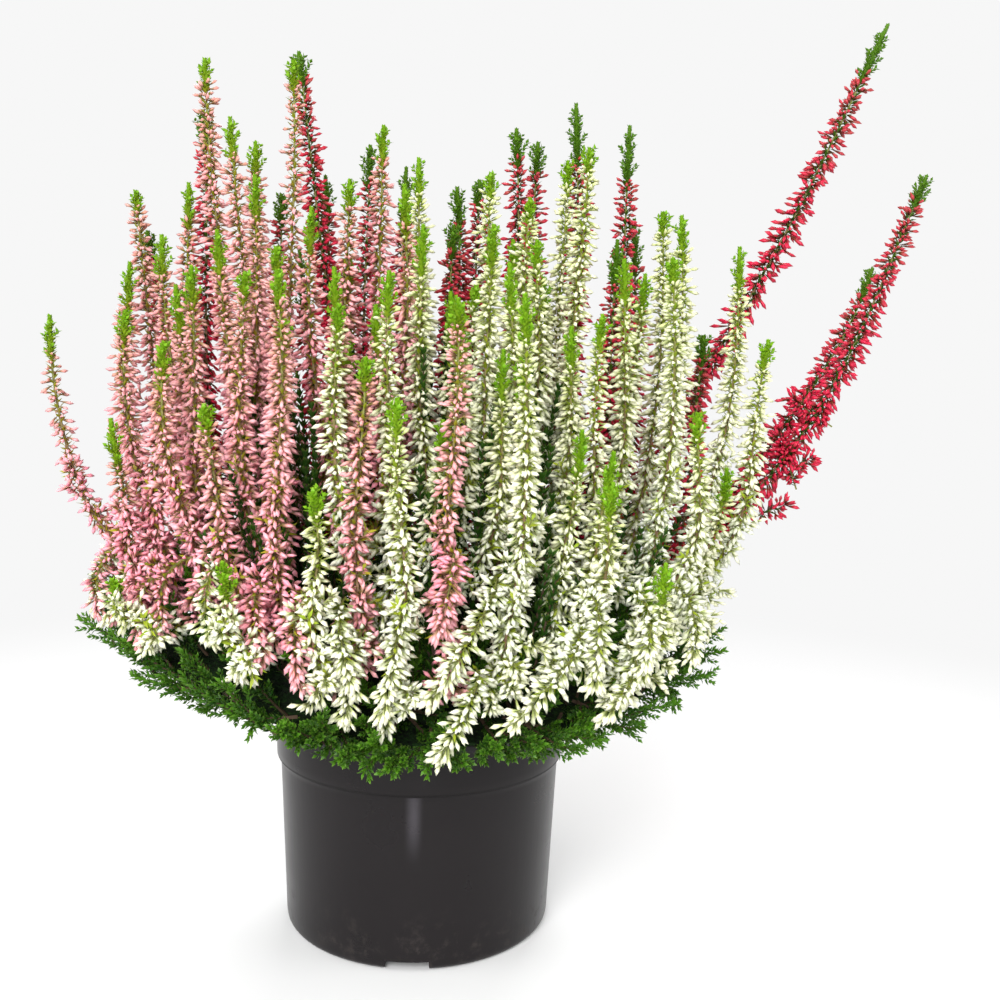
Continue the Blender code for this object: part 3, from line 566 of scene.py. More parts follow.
def pair_sprays(shoots):
    """Shoots of one colour that stand nearest share a branch, until few enough branches are left."""
    pairs = []
    for i, first in enumerate(shoots):
        for j in range(i + 1, len(shoots)):
            if shoots[j].colour == first.colour:
                pairs.append((float(np.hypot(*(shoots[j].home - first.home))), i, j))
    sprays = []
    free = set(range(len(shoots)))
    for _, i, j in sorted(pairs):
        if len(free) + len(sprays) <= MOST_SPRAYS:
            break
        if i in free and j in free:
            free -= {i, j}
            taller, shorter = (i, j) if shoots[i].tip[2] >= shoots[j].tip[2] else (j, i)
            sprays.append([taller, shorter])
    sprays += [[i] for i in free]
    return sorted(sprays)


def join_feet(shoots, sprays):
    """Seat each spray, and let its second shoot leave the first a little above the seat."""
    for spray in sprays:
        first = shoots[spray[0]]
        middle = sum(shoots[i].home for i in spray) / len(spray)
        first.place_foot(middle * SEAT_PULL)
        for i in spray[1:]:
            path = first.line(LINE_POINTS)
            fork = np.searchsorted(arc_lengths(path), FORK_SHARE * BARE_STEM_LENGTH)
            shoots[i].fork = path[int(fork)]


def spread_apart(shoots, sprays):
    """Neighbours elbow each other aside, mostly in depth, until they stand clear."""
    size = len(shoots)
    mate = np.full(size, -1)
    for spray in sprays:
        if len(spray) == 2:
            mate[spray] = spray[::-1]
    owner = np.repeat(np.arange(size), SPREAD_POINTS)
    place = np.tile(np.arange(SPREAD_POINTS), size)
    near_fork = np.minimum(place[:, None], place[None, :]) < FORKED_SHARE * SPREAD_POINTS
    related = (mate[owner][:, None] == owner[None, :]) & near_fork
    ignore = (owner[:, None] == owner[None, :]) | related
    for _ in range(SPREAD_ROUNDS):
        join_feet(shoots, sprays)
        lines = np.concatenate([shoot.line(SPREAD_POINTS) for shoot in shoots])
        squares = (lines**2).sum(axis=1)
        rough = squares[:, None] + squares[None, :] - 2 * lines @ lines.T
        rough[ignore] = 1.0
        a, b = np.nonzero(rough < SHOOT_CLEARANCE**2 + 1e-8)
        apart = lines[a] - lines[b]
        distance = np.sqrt((apart**2).sum(axis=1))
        close = distance < SHOOT_CLEARANCE
        if not close.any():
            break
        a, b, apart, distance = a[close], b[close], apart[close], distance[close]
        away = apart[:, :2] * SPREAD_BIAS
        away[:, 1] += 1e-6 * (a - b)
        push = away / np.hypot(away[:, 0], away[:, 1])[:, None] * (SHOOT_CLEARANCE - distance)[:, None]
        steps = np.zeros((size, 2))
        np.add.at(steps, owner[a], push)
        counts = np.bincount(owner[a], minlength=size)
        for i in np.nonzero(counts)[0]:
            shoots[i].shift(0.5 * steps[i] / counts[i])
    join_feet(shoots, sprays)


def side_shoots(shoots):
    """Shorter shoots that fork off some shoots low down, each on the side with most room, and
    only where there is most room of all. A pink one in the white half has none."""
    draw = np.random.default_rng(SIDE_SHOOT_SEED)
    homes = [shoot.home for shoot in shoots]
    rounds = np.arange(SIDE_SHOOT_TURNS) * math.tau / SIDE_SHOOT_TURNS
    spots = SIDE_SHOOT_REACH * np.stack([np.cos(rounds), np.sin(rounds)], axis=1)
    found = []
    for _ in range(SIDE_SHOOTS):
        best = (0.0, None, None)
        for shoot in shoots:
            if shoot.colour == "pink" and shoot.home[0] > 0:
                continue
            for spot in shoot.home + spots:
                room = float(np.min(np.hypot(*(np.array(homes) - spot).T)))
                inside = np.hypot(*((spot - SIDE_SHOOT_MIDDLE) / SIDE_SHOOT_EXTENT)) < 1
                if inside and shoot.turn_height is None and room > best[0]:
                    best = (room, shoot, spot)
        _, parent, spot = best
        height = CROWN_HEIGHT + (parent.tip[2] - CROWN_HEIGHT) * draw.uniform(*SIDE_SHOOT_HEIGHTS)
        lean = SIDE_SHOOT_LEAN * (parent.tip[:2] - parent.home)
        side = Shoot(parent.colour, spot, (*(spot + lean), height), None)
        side.fork = parent.line(LINE_POINTS)[SIDE_SHOOT_FORK]
        side.spray = parent.spray
        homes.append(spot)
        found.append(side)
    return found


@functools.lru_cache(maxsize=1)
def laid_out():
    """Every shoot in its final place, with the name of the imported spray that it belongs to."""
    shoots = [Shoot(*row) for row in planting_plan()]
    for index in SPARSE_PINKS:
        shoots[index].sparse = True
    for (colour, place), nudge in NUDGED_SHOOTS.items():
        [shoot for shoot in shoots if shoot.colour == colour][place].nudge = nudge
    sprays = pair_sprays(shoots)
    spread_apart(shoots, sprays)
    numbers = dict.fromkeys(CLUMP_ORDER, 0)
    for spray in sprays:
        colour = shoots[spray[0]].colour
        numbers[colour] += 1
        for i in spray:
            shoots[i].spray = f"{colour}_spray_{numbers[colour]:02d}"
    return shoots + side_shoots(shoots)


# Lines, and small shapes set along them

DIRECTION_REACH = 0.0015
# The turn, in radians, that each ring of leaves gains on the one below it
RING_DRIFT = 0.13
# What the three corners of a bud's ring are shaded by
BUD_RIDGES = [0.2, 1.0, 0.4]


def unit(vectors):
    """Vectors scaled to length one."""
    return vectors / np.maximum(np.linalg.norm(vectors, axis=-1, keepdims=True), 1e-12)


def arc_lengths(path):
    """Distance along a path to each of its points."""
    return np.concatenate([[0], np.cumsum(np.linalg.norm(np.diff(path, axis=0), axis=1))])


def points_along(path, places):
    """Points at given distances along a path."""
    along = arc_lengths(path)
    return np.stack([np.interp(places, along, path[:, k]) for k in range(3)], axis=1)


def resample(path, places):
    """Points at given distances along a path, with the directions there: from a point a little
    behind to one a little ahead."""
    places = np.asarray(places, dtype=float)
    ahead = points_along(path, places + DIRECTION_REACH)
    behind = points_along(path, places - DIRECTION_REACH)
    return points_along(path, places), unit(ahead - behind)


def side_frames(direction):
    """Two sideways unit vectors at each point: across is square to the path and to the world
    axis that the path follows least, and over is square to both."""
    axis = np.eye(3)[int(np.argmin(np.abs(direction.mean(axis=0))))]
    across = unit(np.cross(direction, axis))
    return across, np.cross(direction, across)


class Shape:
    """A small closed shape: points with z along it, triangles, and two values to shade by."""

    def __init__(self, points, faces, along, ridge):
        points = np.asarray(points, dtype=float)
        faces = np.asarray(faces)
        corners = points[faces]
        normal = np.cross(corners[:, 1] - corners[:, 0], corners[:, 2] - corners[:, 0])
        inward = (normal * (corners.mean(axis=1) - points.mean(axis=0))).sum(axis=1) < 0
        faces[inward] = faces[inward][:, ::-1]
        self.points = points
        self.faces = faces
        self.along = np.asarray(along, dtype=float)
        self.ridge = np.asarray(ridge, dtype=float)


def bud_shape(rings):
    """A pointed bud on its stalk: one or two rings of three points, turned half a step to each
    other, closed by a point at each end. Each ring has a share of the length, a radius and a
    value to shade by."""
    turn = np.arange(3) * math.tau / 3
    points = [(0.0, 0.0, 0.0)]
    along, ridge, faces = [0.0], [0.2], []
    for place, (height, radius, shade) in enumerate(rings):
        twist = turn + place * math.pi / 3
        points += list(zip(radius * np.cos(twist), radius * np.sin(twist), [height] * 3))
        along += [shade] * 3
        ridge += BUD_RIDGES
    points.append((0.0, 0.0, 1.0))
    last = 1 + 3 * (len(rings) - 1)
    for k in range(3):
        n = (k + 1) % 3
        faces += [(0, 1 + n, 1 + k), (last + 3, last + k, last + n)]
        if len(rings) == 2:
            faces += [(1 + k, 1 + n, 4 + k), (4 + k, 1 + n, 4 + n)]
    return Shape(points, faces, along + [1.0], ridge + [0.7])


def leaf_shape():
    """A scale leaf: four points, the root, the two sides and the tip, folded along the middle."""
    points = [(0.0, 0.0, 0.0), (-0.5, -0.16, 0.42), (0.5, -0.16, 0.42), (0.0, 0.10, 1.0)]
    faces = [(0, 1, 3), (0, 3, 2), (0, 2, 1), (1, 2, 3)]
    return Shape(points, faces, (0.0, 0.45, 0.45, 1.0), (0.0, 0.0, 0.0, 0.0))


# Buds with a short, a middling and a long stalk, and the length of each in bud reaches
STALKED_BUDS = (
    (bud_shape(((0.54, 1.08, 0.50),)), 0.74),
    (bud_shape(((0.36, 0.74, 0.22), (0.72, 0.90, 0.66))), 0.96),
    (bud_shape(((0.46, 0.56, 0.16), (0.78, 0.92, 0.66))), 1.20),
)
LEAF = leaf_shape()


def copies(shape, base, outward, ahead, width, length, chance, height, depth):
    """Set a shape at many places: base, plus x and y times the width along the two sides of the
    frame, plus z times the length along ahead. Outward is the side that the shape's y faces."""
    across = unit(np.cross(outward, ahead))
    over = np.cross(ahead, across)
    local = shape.points
    points = (
        base[:, None, :]
        + (local[None, :, 0:1] * width[:, None, None]) * across[:, None, :]
        + (local[None, :, 1:2] * width[:, None, None]) * over[:, None, :]
        + (local[None, :, 2:3] * length[:, None, None]) * ahead[:, None, :]
    )
    count, size = points.shape[:2]
    tone = np.empty((count, size, 4))
    tone[:, :, 0] = shape.along
    tone[:, :, 1] = chance[:, None]
    tone[:, :, 2] = height[:, None]
    tone[:, :, 3] = shape.ridge
    faces = shape.faces[None, :, :] + size * np.arange(count)[:, None, None]
    return {
        "points": points.reshape(-1, 3),
        "faces": faces.reshape(-1, 3),
        "tone": tone.reshape(-1, 4),
        "depth": np.repeat(np.broadcast_to(depth, (count,)), size),
        "material": 0,
    }


def rod(path, radii, sides, chance, share, material=1):
    """A round stem: a ring of points round each point of a path, closed by a point at each end."""
    direction = unit(np.gradient(path, axis=0))
    across, over = side_frames(direction)
    turn = np.arange(sides) * math.tau / sides
    ring = np.cos(turn)[None, :, None] * across[:, None, :]
    ring = ring + np.sin(turn)[None, :, None] * over[:, None, :]
    body = path[:, None, :] + ring * np.asarray(radii)[:, None, None]
    rings = len(path)
    points = np.vstack([body.reshape(-1, 3), path[:1], path[-1:]])
    a = (np.arange(rings - 1)[:, None] * sides + np.arange(sides)[None, :]).ravel()
    b = (np.arange(rings - 1)[:, None] * sides + (np.arange(sides)[None, :] + 1) % sides).ravel()
    start, stop = rings * sides, rings * sides + 1
    k = np.arange(sides)
    n = (k + 1) % sides
    last = (rings - 1) * sides
    faces = np.vstack([
        np.stack([a, b, b + sides], axis=1),
        np.stack([a, b + sides, a + sides], axis=1),
        np.stack([np.full(sides, start), n, k], axis=1),
        np.stack([np.full(sides, stop), last + k, last + n], axis=1),
    ])
    tone = np.zeros((len(points), 4))
    tone[:, 0] = np.concatenate([np.repeat(np.linspace(0, 1, rings), sides), [0, 1]])
    tone[:, 1] = chance
    tone[:, 2] = np.concatenate([np.repeat(share, sides), share[:1], share[-1:]])
    return {"points": points, "faces": faces, "tone": tone, "depth": np.zeros(len(points)),
            "material": material}


def new_piece(name, parts, materials, smooth=True):
    """One mesh object made of many parts, with their shading values as attributes."""
    sizes = [len(part["points"]) for part in parts]
    starts = np.concatenate([[0], np.cumsum(sizes)[:-1]])
    points = np.vstack([part["points"] for part in parts])
    faces = np.vstack([part["faces"] + start for part, start in zip(parts, starts)])
    slots = np.concatenate([np.full(len(part["faces"]), part["material"]) for part in parts])
    mesh = bpy.data.meshes.new(name)
    mesh.vertices.add(len(points))
    mesh.vertices.foreach_set("co", points.astype(np.float32).ravel())
    mesh.loops.add(3 * len(faces))
    mesh.loops.foreach_set("vertex_index", faces.astype(np.int32).ravel())
    mesh.polygons.add(len(faces))
    mesh.polygons.foreach_set("loop_start", np.arange(0, 3 * len(faces), 3, dtype=np.int32))
    mesh.polygons.foreach_set("material_index", slots.astype(np.int32))
    mesh.polygons.foreach_set("use_smooth", np.full(len(faces), smooth))
    mesh.update(calc_edges=True)
    tone = mesh.attributes.new("tone", "FLOAT_COLOR", "POINT")
    tones = np.vstack([part["tone"] for part in parts])
    tone.data.foreach_set("color", tones.astype(np.float32).ravel())
    depth = mesh.attributes.new("depth", "FLOAT", "POINT")
    depths = np.concatenate([part["depth"] for part in parts])
    depth.data.foreach_set("value", depths.astype(np.float32))
    for material in materials:
        mesh.materials.append(material)
    piece = bpy.data.objects.new(name, mesh)
    bpy.context.scene.collection.objects.link(piece)
    return piece


def ring_frames(path, places, in_ring, draw, jitter):
    """Rings of places round a path: points, outward and forward directions, one row a copy.
    Each ring is turned half a step from the last, as leaves and buds alternate on a stem."""
    points, direction = resample(path, places)
    across, over = side_frames(direction)
    rings = len(places)
    half_step = 0.5 * (np.arange(rings) % 2)[:, None]
    turn = (np.arange(in_ring)[None, :] + half_step) * math.tau / in_ring
    turn = turn + draw.uniform(0, math.tau) + RING_DRIFT * np.arange(rings)[:, None]
    turn = turn + draw.uniform(-jitter, jitter, turn.shape)
    outward = np.cos(turn)[:, :, None] * across[:, None, :]
    outward = outward + np.sin(turn)[:, :, None] * over[:, None, :]
    forward = np.broadcast_to(direction[:, None, :], outward.shape)
    base = np.broadcast_to(points[:, None, :], outward.shape)
    return base.reshape(-1, 3), outward.reshape(-1, 3), forward.reshape(-1, 3)


# Flowers

FEWEST_BUDS = 6
# Share of the buds, from the foot up, and share of the way that they reach
BUD_NUMBERS = (0.0, 0.50, 1.0)
BUD_PLACES = (0.0, 0.54, 1.0)
BUD_JITTER = 0.0008
BUD_TURN_JITTER = 0.7
BUD_LIFT_JITTER = 0.30
BUD_DROOP = (0.0, 0.0, -0.08)
BUD_ROOT = 0.0003
# How buds shrink upwards, and how the youngest, near the tip, shrink more
BUD_SHRINK = 0.14
BUD_SHRINK_CURVE = 1.3
YOUNG_START = 0.72
YOUNG_SPAN = 0.28
YOUNG_SHRINK = 0.24
HANGING_BUD_SIZE = 0.95
# Buds on a hanging twig are coloured as on the lower part of a shoot
HANGING_SHADE = 0.6
BUD_SIZES = (0.78, 1.12)
BUD_WIDTHS = (0.88, 1.12)
LEAF_SIZES = (0.85, 1.12)
LEAF_TURN_JITTER = 0.25
LEAF_LEAN_JITTER = 0.12

# Side twigs low on an outer shoot: a few that hang, how steeply they point up, how far up the
# shoot they start, then short ones that stand above them
TWIG_COUNT = 7
HANGING_TWIGS = 3
HANGING_TWIG_PITCH = tuple(map(math.radians, (-14, -4, 8)))
HANGING_TWIG_FOOT = 0.003
HANGING_TWIG_STEP = 0.004
HANGING_TWIG_LENGTHS = (0.011, 0.018)
SHORT_TWIG_FOOT = 0.008
SHORT_TWIG_STEP = 0.09
SHORT_TWIG_LENGTHS = (0.006, 0.010)
# The most, in radians, that hanging twigs in front turn towards the middle
INWARD_TURN = 0.6
# How much longer a red shoot's leafy tip is
RED_TIP_SHARE = 1.45
# A shoot's stem: its radius at the foot, how much less that is at the tip, and its rings
SHOOT_STEM_RADIUS = 0.0009
SHOOT_STEM_TAPER = 0.0005
STEM_RINGS = 18
# Radii at the two ends of a flowering twig and of a sprig
TWIG_STEM = (0.0005, 0.0003)
SPRIG_STEM = (0.0008, 0.0003)


def buds_on(path, start, stop, sizes, draw, depth, scale=1.0, step_scale=1.0, hangs=False):
    """Buds on the stretch of a path between two distances, a golden angle of turn from one to
    the next. A bud points outwards, drooping near the foot and lifting near the tip. Their
    stalks differ in length, and all shrink upwards. On a twig that hangs they point ahead."""
    step = sizes.bud_step * step_scale
    if stop - start < FEWEST_BUDS * step:
        return []
    count = int((stop - start) / step)
    share = np.interp(np.arange(count) / count, BUD_NUMBERS, BUD_PLACES)
    places = start + (stop - start) * share + draw.uniform(-BUD_JITTER, BUD_JITTER, count)
    points, direction = resample(path, places)
    across, over = side_frames(direction)
    turn = np.arange(count) * GOLDEN_ANGLE + draw.uniform(-BUD_TURN_JITTER, BUD_TURN_JITTER, count)
    outward = np.cos(turn)[:, None] * across + np.sin(turn)[:, None] * over
    if hangs:
        lift = np.interp(share, HANGING_LIFT_PLACES, HANGING_LIFT)
        shrink = np.full(count, HANGING_BUD_SIZE)
        height = HANGING_SHADE * share
    else:
        lift = np.interp(share, BUD_LIFT_PLACES, BUD_LIFT)
        young = np.clip((share - YOUNG_START) / YOUNG_SPAN, 0, 1)
        shrink = 1.0 - BUD_SHRINK * share**BUD_SHRINK_CURVE - YOUNG_SHRINK * young
        height = share
    lift = lift + draw.normal(0, BUD_LIFT_JITTER, count)
    ahead = unit(np.cos(lift)[:, None] * outward + np.sin(lift)[:, None] * direction + BUD_DROOP)
    shrink = scale * shrink * draw.uniform(*BUD_SIZES, count)
    width = sizes.bud_radius * np.sqrt(shrink) * draw.uniform(*BUD_WIDTHS, count)
    chance = draw.uniform(0, 1, count)
    parts = []
    for first, (shape, stretch) in enumerate(STALKED_BUDS):
        some = slice(first, None, len(STALKED_BUDS))
        root = points[some] + outward[some] * BUD_ROOT
        length = stretch * sizes.bud_length * shrink[some]
        parts.append(copies(
            shape, root, outward[some], ahead[some], width[some], length, chance[some], height[some], depth))
    return parts


def leaves_on(path, places, in_ring, length, width, lean, draw, height, depth=0.0, reach=0.0004):
    """Scale leaves in rings at given distances along a path. Lean is the angle from the path."""
    base, outward, forward = ring_frames(path, places, in_ring, draw, LEAF_TURN_JITTER)
    count = len(base)

    def spread(values):
        """One value a ring, or one for all, as one value a leaf."""
        return np.repeat(np.broadcast_to(values, (len(places),)), in_ring)

    angle = spread(lean) + draw.normal(0, LEAF_LEAN_JITTER, count)
    ahead = unit(np.cos(angle)[:, None] * forward + np.sin(angle)[:, None] * outward)
    size = spread(length) * draw.uniform(*LEAF_SIZES, count)
    root = base + outward * reach
    chance = draw.uniform(0, 1, count)
    return [copies(LEAF, root, outward, ahead, spread(width), size, chance, spread(height), depth)]


def towards(azimuth, pitch):
    """Unit vectors at an azimuth and an angle above the level."""
    level = np.cos(pitch)
    return np.stack([level * np.cos(azimuth), level * np.sin(azimuth), np.sin(pitch)], axis=-1)


def twig_path(start, direction, length, bend, count=8):
    """A short twig: start plus the length along a direction, with a bend added as the square of
    the share of the way."""
    share = np.linspace(0, 1, count)[:, None]
    return start + share * length * unit(direction) + share**2 * length * np.asarray(bend)


def side_twigs(shoot, path, length, draw):
    """Flowering twigs low on a shoot that stands near the plant's edge. Three long ones hang out
    over the leafy skirt, those in front towards the middle, and short ones stand above them."""
    reach = float(np.hypot(*shoot.home))
    if reach < INNER_REACH:
        return []
    azimuth = math.atan2(shoot.home[1], shoot.home[0])
    inwards = 0.0
    if shoot.home[1] < 0:
        inwards = float(np.clip(INWARD_TURN * (-math.pi / 2 - azimuth), -INWARD_TURN, INWARD_TURN))
    found = []
    for k in range(TWIG_COUNT):
        hangs = k < HANGING_TWIGS
        if hangs:
            place = HANGING_TWIG_FOOT + HANGING_TWIG_STEP * k
        else:
            place = SHORT_TWIG_FOOT + length * SHORT_TWIG_STEP * (k + 1 - HANGING_TWIGS)
        point, _ = resample(path, [place + draw.uniform(0, 0.003)])
        if hangs:
            turn = azimuth + inwards + 0.5 * (k - 1) + draw.uniform(-0.25, 0.25)
            pitch = HANGING_TWIG_PITCH[k] + draw.uniform(-0.12, 0.12)
            size = draw.uniform(*HANGING_TWIG_LENGTHS)
            bend = (0, 0, -0.20)
        else:
            turn = azimuth + draw.uniform(-1.8, 1.8)
            pitch = math.radians(14 + 4 * k) + draw.uniform(-0.15, 0.15)
            size = draw.uniform(*SHORT_TWIG_LENGTHS)
            bend = (0, 0, 0.15)
        found.append(twig_path(point[0], towards(turn, pitch), size, bend))
    return found


def swayed_line(shoot):
    """A shoot's line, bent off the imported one: plus its nudge, as a parabola over its middle and
    the square of the share of the way, plus a sway, as a sine whose size grows from the foot."""
    share = np.linspace(0, 1, LINE_POINTS)
    path = shoot.line(LINE_POINTS)
    middle, tip = shoot.nudge
    path[:, 0] += 4 * share * (1 - share) * middle + share**2 * tip
    sway = SWAY * np.minimum(3 * share, 1.0) * share**0.3
    start = shoot.own_angle()
    waves = 0.9 + 0.5 * math.sin(3 * start) ** 2
    turn = start + math.tau * waves * share
    path[:, 0] += sway * (np.sin(turn) - math.sin(start) * (1 - share))
    path[:, 1] += sway * (np.cos(turn) - math.cos(start) * (1 - share))
    return path


def shoot_stretches(shoot, sizes):
    """A shoot's line with its length, where its buds start and where its leafy tip starts."""
    path = swayed_line(shoot)
    length = arc_lengths(path)[-1]
    bare = 0.4 * BARE_STEM_LENGTH if shoot.fork is None else 1.6 * BARE_STEM_LENGTH
    if np.hypot(*shoot.home) < INNER_REACH:
        bare += INNER_LEAFY_SHARE * length
    vary = 0.65 + 0.65 * math.sin(shoot.own_angle()) ** 2
    tip = sizes.tip_length * vary * (RED_TIP_SHARE if shoot.colour == "red" else 1.0)
    return path, length, bare, length - tip


def hanging_lines(colour):
    """The lines of the flower clusters of one colour. A hanging one leaves the plant a little
    behind and above where its cluster starts, and bows outwards. A red one starts on its shoot."""
    found = []
    for own, start, stop in HANGING_CLUSTERS:
        if own != colour:
            continue
        start, stop = np.array(start), np.array(stop)
        if own == "red":
            root = start - 0.1 * (stop - start)
        else:
            root = start * (0.86, 0.86, 1.0) + (0, 0, 0.002)
        found.append(parabola(root, start, stop, 12))
    return found


def flower_parts(shoots, sizes, seed):
    """The buds of some shoots and of their side twigs. Buds are larger towards the back, where
    they are seen from further off, and on the arched shoots, and smaller and fewer on sparse
    ones."""
    draw = np.random.default_rng(seed)
    parts = []
    for shoot in shoots:
        path, length, bare, tip = shoot_stretches(shoot, sizes)
        depth = float(np.clip(draw.normal(0.5, 0.22), 0, 1))
        size = float(np.interp(shoot.home[1], (-0.09, 0.05), (0.95, 1.14)))
        size *= 1.10 if shoot.turn_height is not None else 0.86 if shoot.sparse else 1.0
        step = 1.8 if shoot.sparse else 1.0
        parts += buds_on(path, bare, tip + 0.003, sizes, draw, depth, size, step)
        for twig in side_twigs(shoot, path, length, draw):
            end = arc_lengths(twig)[-1]
            parts += buds_on(twig, 0.002, end, sizes, draw, depth, 0.88, 1.10, True)
    return parts


def green_parts(shoots, sizes, seed):
    """The stems, the small leaves between the buds and the leafy tips of some shoots. Leaves are
    longest low down. On the tips they are longest a third of the way up and close in above."""
    draw = np.random.default_rng(seed)
    twigs = np.random.default_rng(seed + 1)
    parts = []
    for shoot in shoots:
        path, length, bare, tip = shoot_stretches(shoot, sizes)
        chance = draw.uniform(0, 1)
        places = np.linspace(0, length, STEM_RINGS)
        share = places / length
        radii = SHOOT_STEM_RADIUS - SHOOT_STEM_TAPER * share
        parts.append(rod(points_along(path, places), radii, 5, chance, share))
        between = np.arange(bare, tip, 0.0021)
        rise = (between - bare) / (tip - bare)
        size = sizes.leaf_length * (1.40 - 0.30 * rise)
        parts += leaves_on(path, between, LEAVES_IN_RING, size, 0.0016, 0.90, draw, 0.55 * rise)
        if shoot.fork is None or bare > 3 * BARE_STEM_LENGTH:
            low = np.arange(0.002, bare + 0.004, 0.0022)
            parts += leaves_on(path, low, 4, 1.7 * sizes.leaf_length, 0.0016, 0.80, draw, 0.1)
        crown = np.arange(tip, length, 0.0010)
        rise = (crown - tip) / (length - tip)
        size = sizes.leaf_length * np.interp(rise, (0, 0.35, 1), (0.75, 0.95, 0.50))
        lean = 0.80 - 0.50 * rise**2
        parts += leaves_on(path, crown, 5, size, 0.0018, lean, draw, 0.60 + 0.40 * rise)
        parts += tip_twigs(shoot, path, length, tip, sizes, draw)
        for twig in side_twigs(shoot, path, length, twigs):
            parts += twig_parts(twig, chance, sizes, draw)
    return parts


def twig_parts(twig, chance, sizes, draw):
    """The stem and the leaves of a flowering side twig. The stem ends before its last buds."""
    stem = twig[:-2]
    size = len(stem)
    steps = np.arange(0.002, arc_lengths(stem)[-1], 0.0026)
    parts = [rod(stem, np.linspace(*TWIG_STEM, size), 3, chance, np.full(size, 0.9))]
    return parts + leaves_on(twig, steps, 3, 1.2 * sizes.leaf_length, 0.0014, 0.90, draw, 0.30)


def tip_twigs(shoot, path, length, tip, sizes, draw):
    """Short leafy twigs all along a leafy tip, longest below its middle, so that its outline is
    a knobbly lance. On the red plant they are longer and more."""
    count = 11 if shoot.colour == "red" else 8
    parts = []
    for k in range(count):
        rise = 0.80 * (k + 0.5) / count
        point, ahead = resample(path, [tip + (length - tip) * rise])
        across, over = side_frames(ahead)
        turn = GOLDEN_ANGLE * k + draw.uniform(-0.3, 0.3)
        outward = math.cos(turn) * across[0] + math.sin(turn) * over[0]
        reach = np.interp(rise, (0, 0.30, 0.80), (0.0040, 0.0054, 0.0032)) * draw.uniform(0.85, 1.2)
        reach *= 1.25 if shoot.colour == "red" else min(1.0, (length - tip) / 0.012)
        twig = twig_path(point[0], ahead[0] + 0.95 * outward, reach, 0.25 * ahead[0], 5)
        steps = np.arange(0.0008, reach, 0.0013)
        height = 0.62 + 0.38 * steps / reach
        parts += leaves_on(twig, steps, 3, 0.62 * sizes.leaf_length, 0.0016, 0.55, draw, height)
    return parts


# Leafy skirt


def skirt_point(place, azimuth):
    """The skirt's surface: place runs from the pot's rim (0) out along the underside to the edge
    (0.5) and back over the top (1), at any azimuth."""
    edge = around(EDGE_REACH, azimuth) + SKIRT_PROUD
    under = np.minimum(place / 0.5, 1.0)
    over = np.maximum(place - 0.5, 0.0) / 0.5
    reach = SKIRT_START + (edge - SKIRT_START) * under - SKIRT_BACK * edge * over
    x, y = reach * np.cos(azimuth), reach * np.sin(azimuth)
    height = clump_underside(np.minimum(reach, edge - SKIRT_PROUD), azimuth) + 0.003
    height = np.where(over > 0, height + (clump_top(x, y) - height) * np.minimum(over * 3.0, 1.0), height)
    return np.stack([x, y, height], axis=-1)


def sprig_lines(index, sizes, draw):
    """The main lines of one plant's sprigs. Each passes through the skirt's surface with nearly
    half its length outside, at the pitch that sprigs have there."""
    count = sizes.sprig_count
    order = np.arange(count)
    place = np.mod(order * GOLDEN_SHARE, 1.0)
    azimuth = CLUMP_FIRST_AZIMUTH + SECTOR * (index + (order + 0.5) / count)
    azimuth = azimuth + draw.uniform(-0.10, 0.10, count)
    surface = skirt_point(place, azimuth)
    pitch = np.interp(place, SKIRT_PLACES, SKIRT_PITCH) + around(SKIRT_TILT, azimuth)
    pitch = pitch + draw.normal(0, 0.20, count)
    ahead = towards(azimuth + draw.normal(0, 0.45, count), pitch)
    length = sizes.sprig_length * draw.uniform(0.78, 1.15, count)
    length = length * np.interp(place, (0, 0.2, 1), (0.75, 1, 0.9))
    start = surface - SPRIG_INSIDE * length[:, None] * ahead
    start[:, 2] = np.maximum(start[:, 2], CLUMP_UNDERSIDE + 0.001)
    along = surface + SPRIG_OUTSIDE * length[:, None] * ahead - start
    lift = 0.10 + 0.16 * place
    return [twig_path(start[i], along[i], length[i], (0, 0, lift[i]), 12) for i in range(count)]


def sprig_parts(line, sizes, draw):
    """One sprig: a thin twig with shorter twigs all round it, flattened a little towards the
    level, and all set with leaves."""
    length = arc_lengths(line)[-1]
    chance = draw.uniform(0, 1)
    some = line[::2]
    size = len(some)
    parts = [rod(some, np.linspace(*SPRIG_STEM, size), 3, chance, np.linspace(0, 0.6, size))]
    steps = np.arange(0.15 * length, length, 0.0015)
    share = steps / length
    lean = 0.85 - 0.45 * share
    parts += leaves_on(line, steps, 3, 0.84 * sizes.leaf_length, 0.0014, lean, draw, share, chance)
    direction = unit(line[-1] - line[0])
    level = unit(np.cross(direction, (0.0, 0.0, 1.0)))
    upward = np.cross(level, direction)
    first = draw.uniform(0, math.tau)
    for k in range(SPRIG_TWIGS):
        at = 0.22 + 0.092 * k
        point, ahead = resample(line, [at * length])
        turn = first + GOLDEN_ANGLE * k
        side = math.cos(turn) * level + 0.75 * math.sin(turn) * upward
        reach = length * (0.30 - 0.17 * at) * draw.uniform(0.8, 1.2)
        twig = twig_path(point[0], ahead[0] + 0.95 * side, reach, 0.30 * ahead[0], 5)
        steps = np.arange(0.0008, arc_lengths(twig)[-1], 0.0015)
        rise = steps / max(steps[-1], 0.001)
        size = 0.78 * sizes.leaf_length * (1 - 0.20 * rise)
        lean = 0.75 - 0.40 * rise
        height = at * 0.5 + 0.5 * rise
        parts += leaves_on(twig, steps, 3, size, 0.0014, lean, draw, height, chance)
    return parts


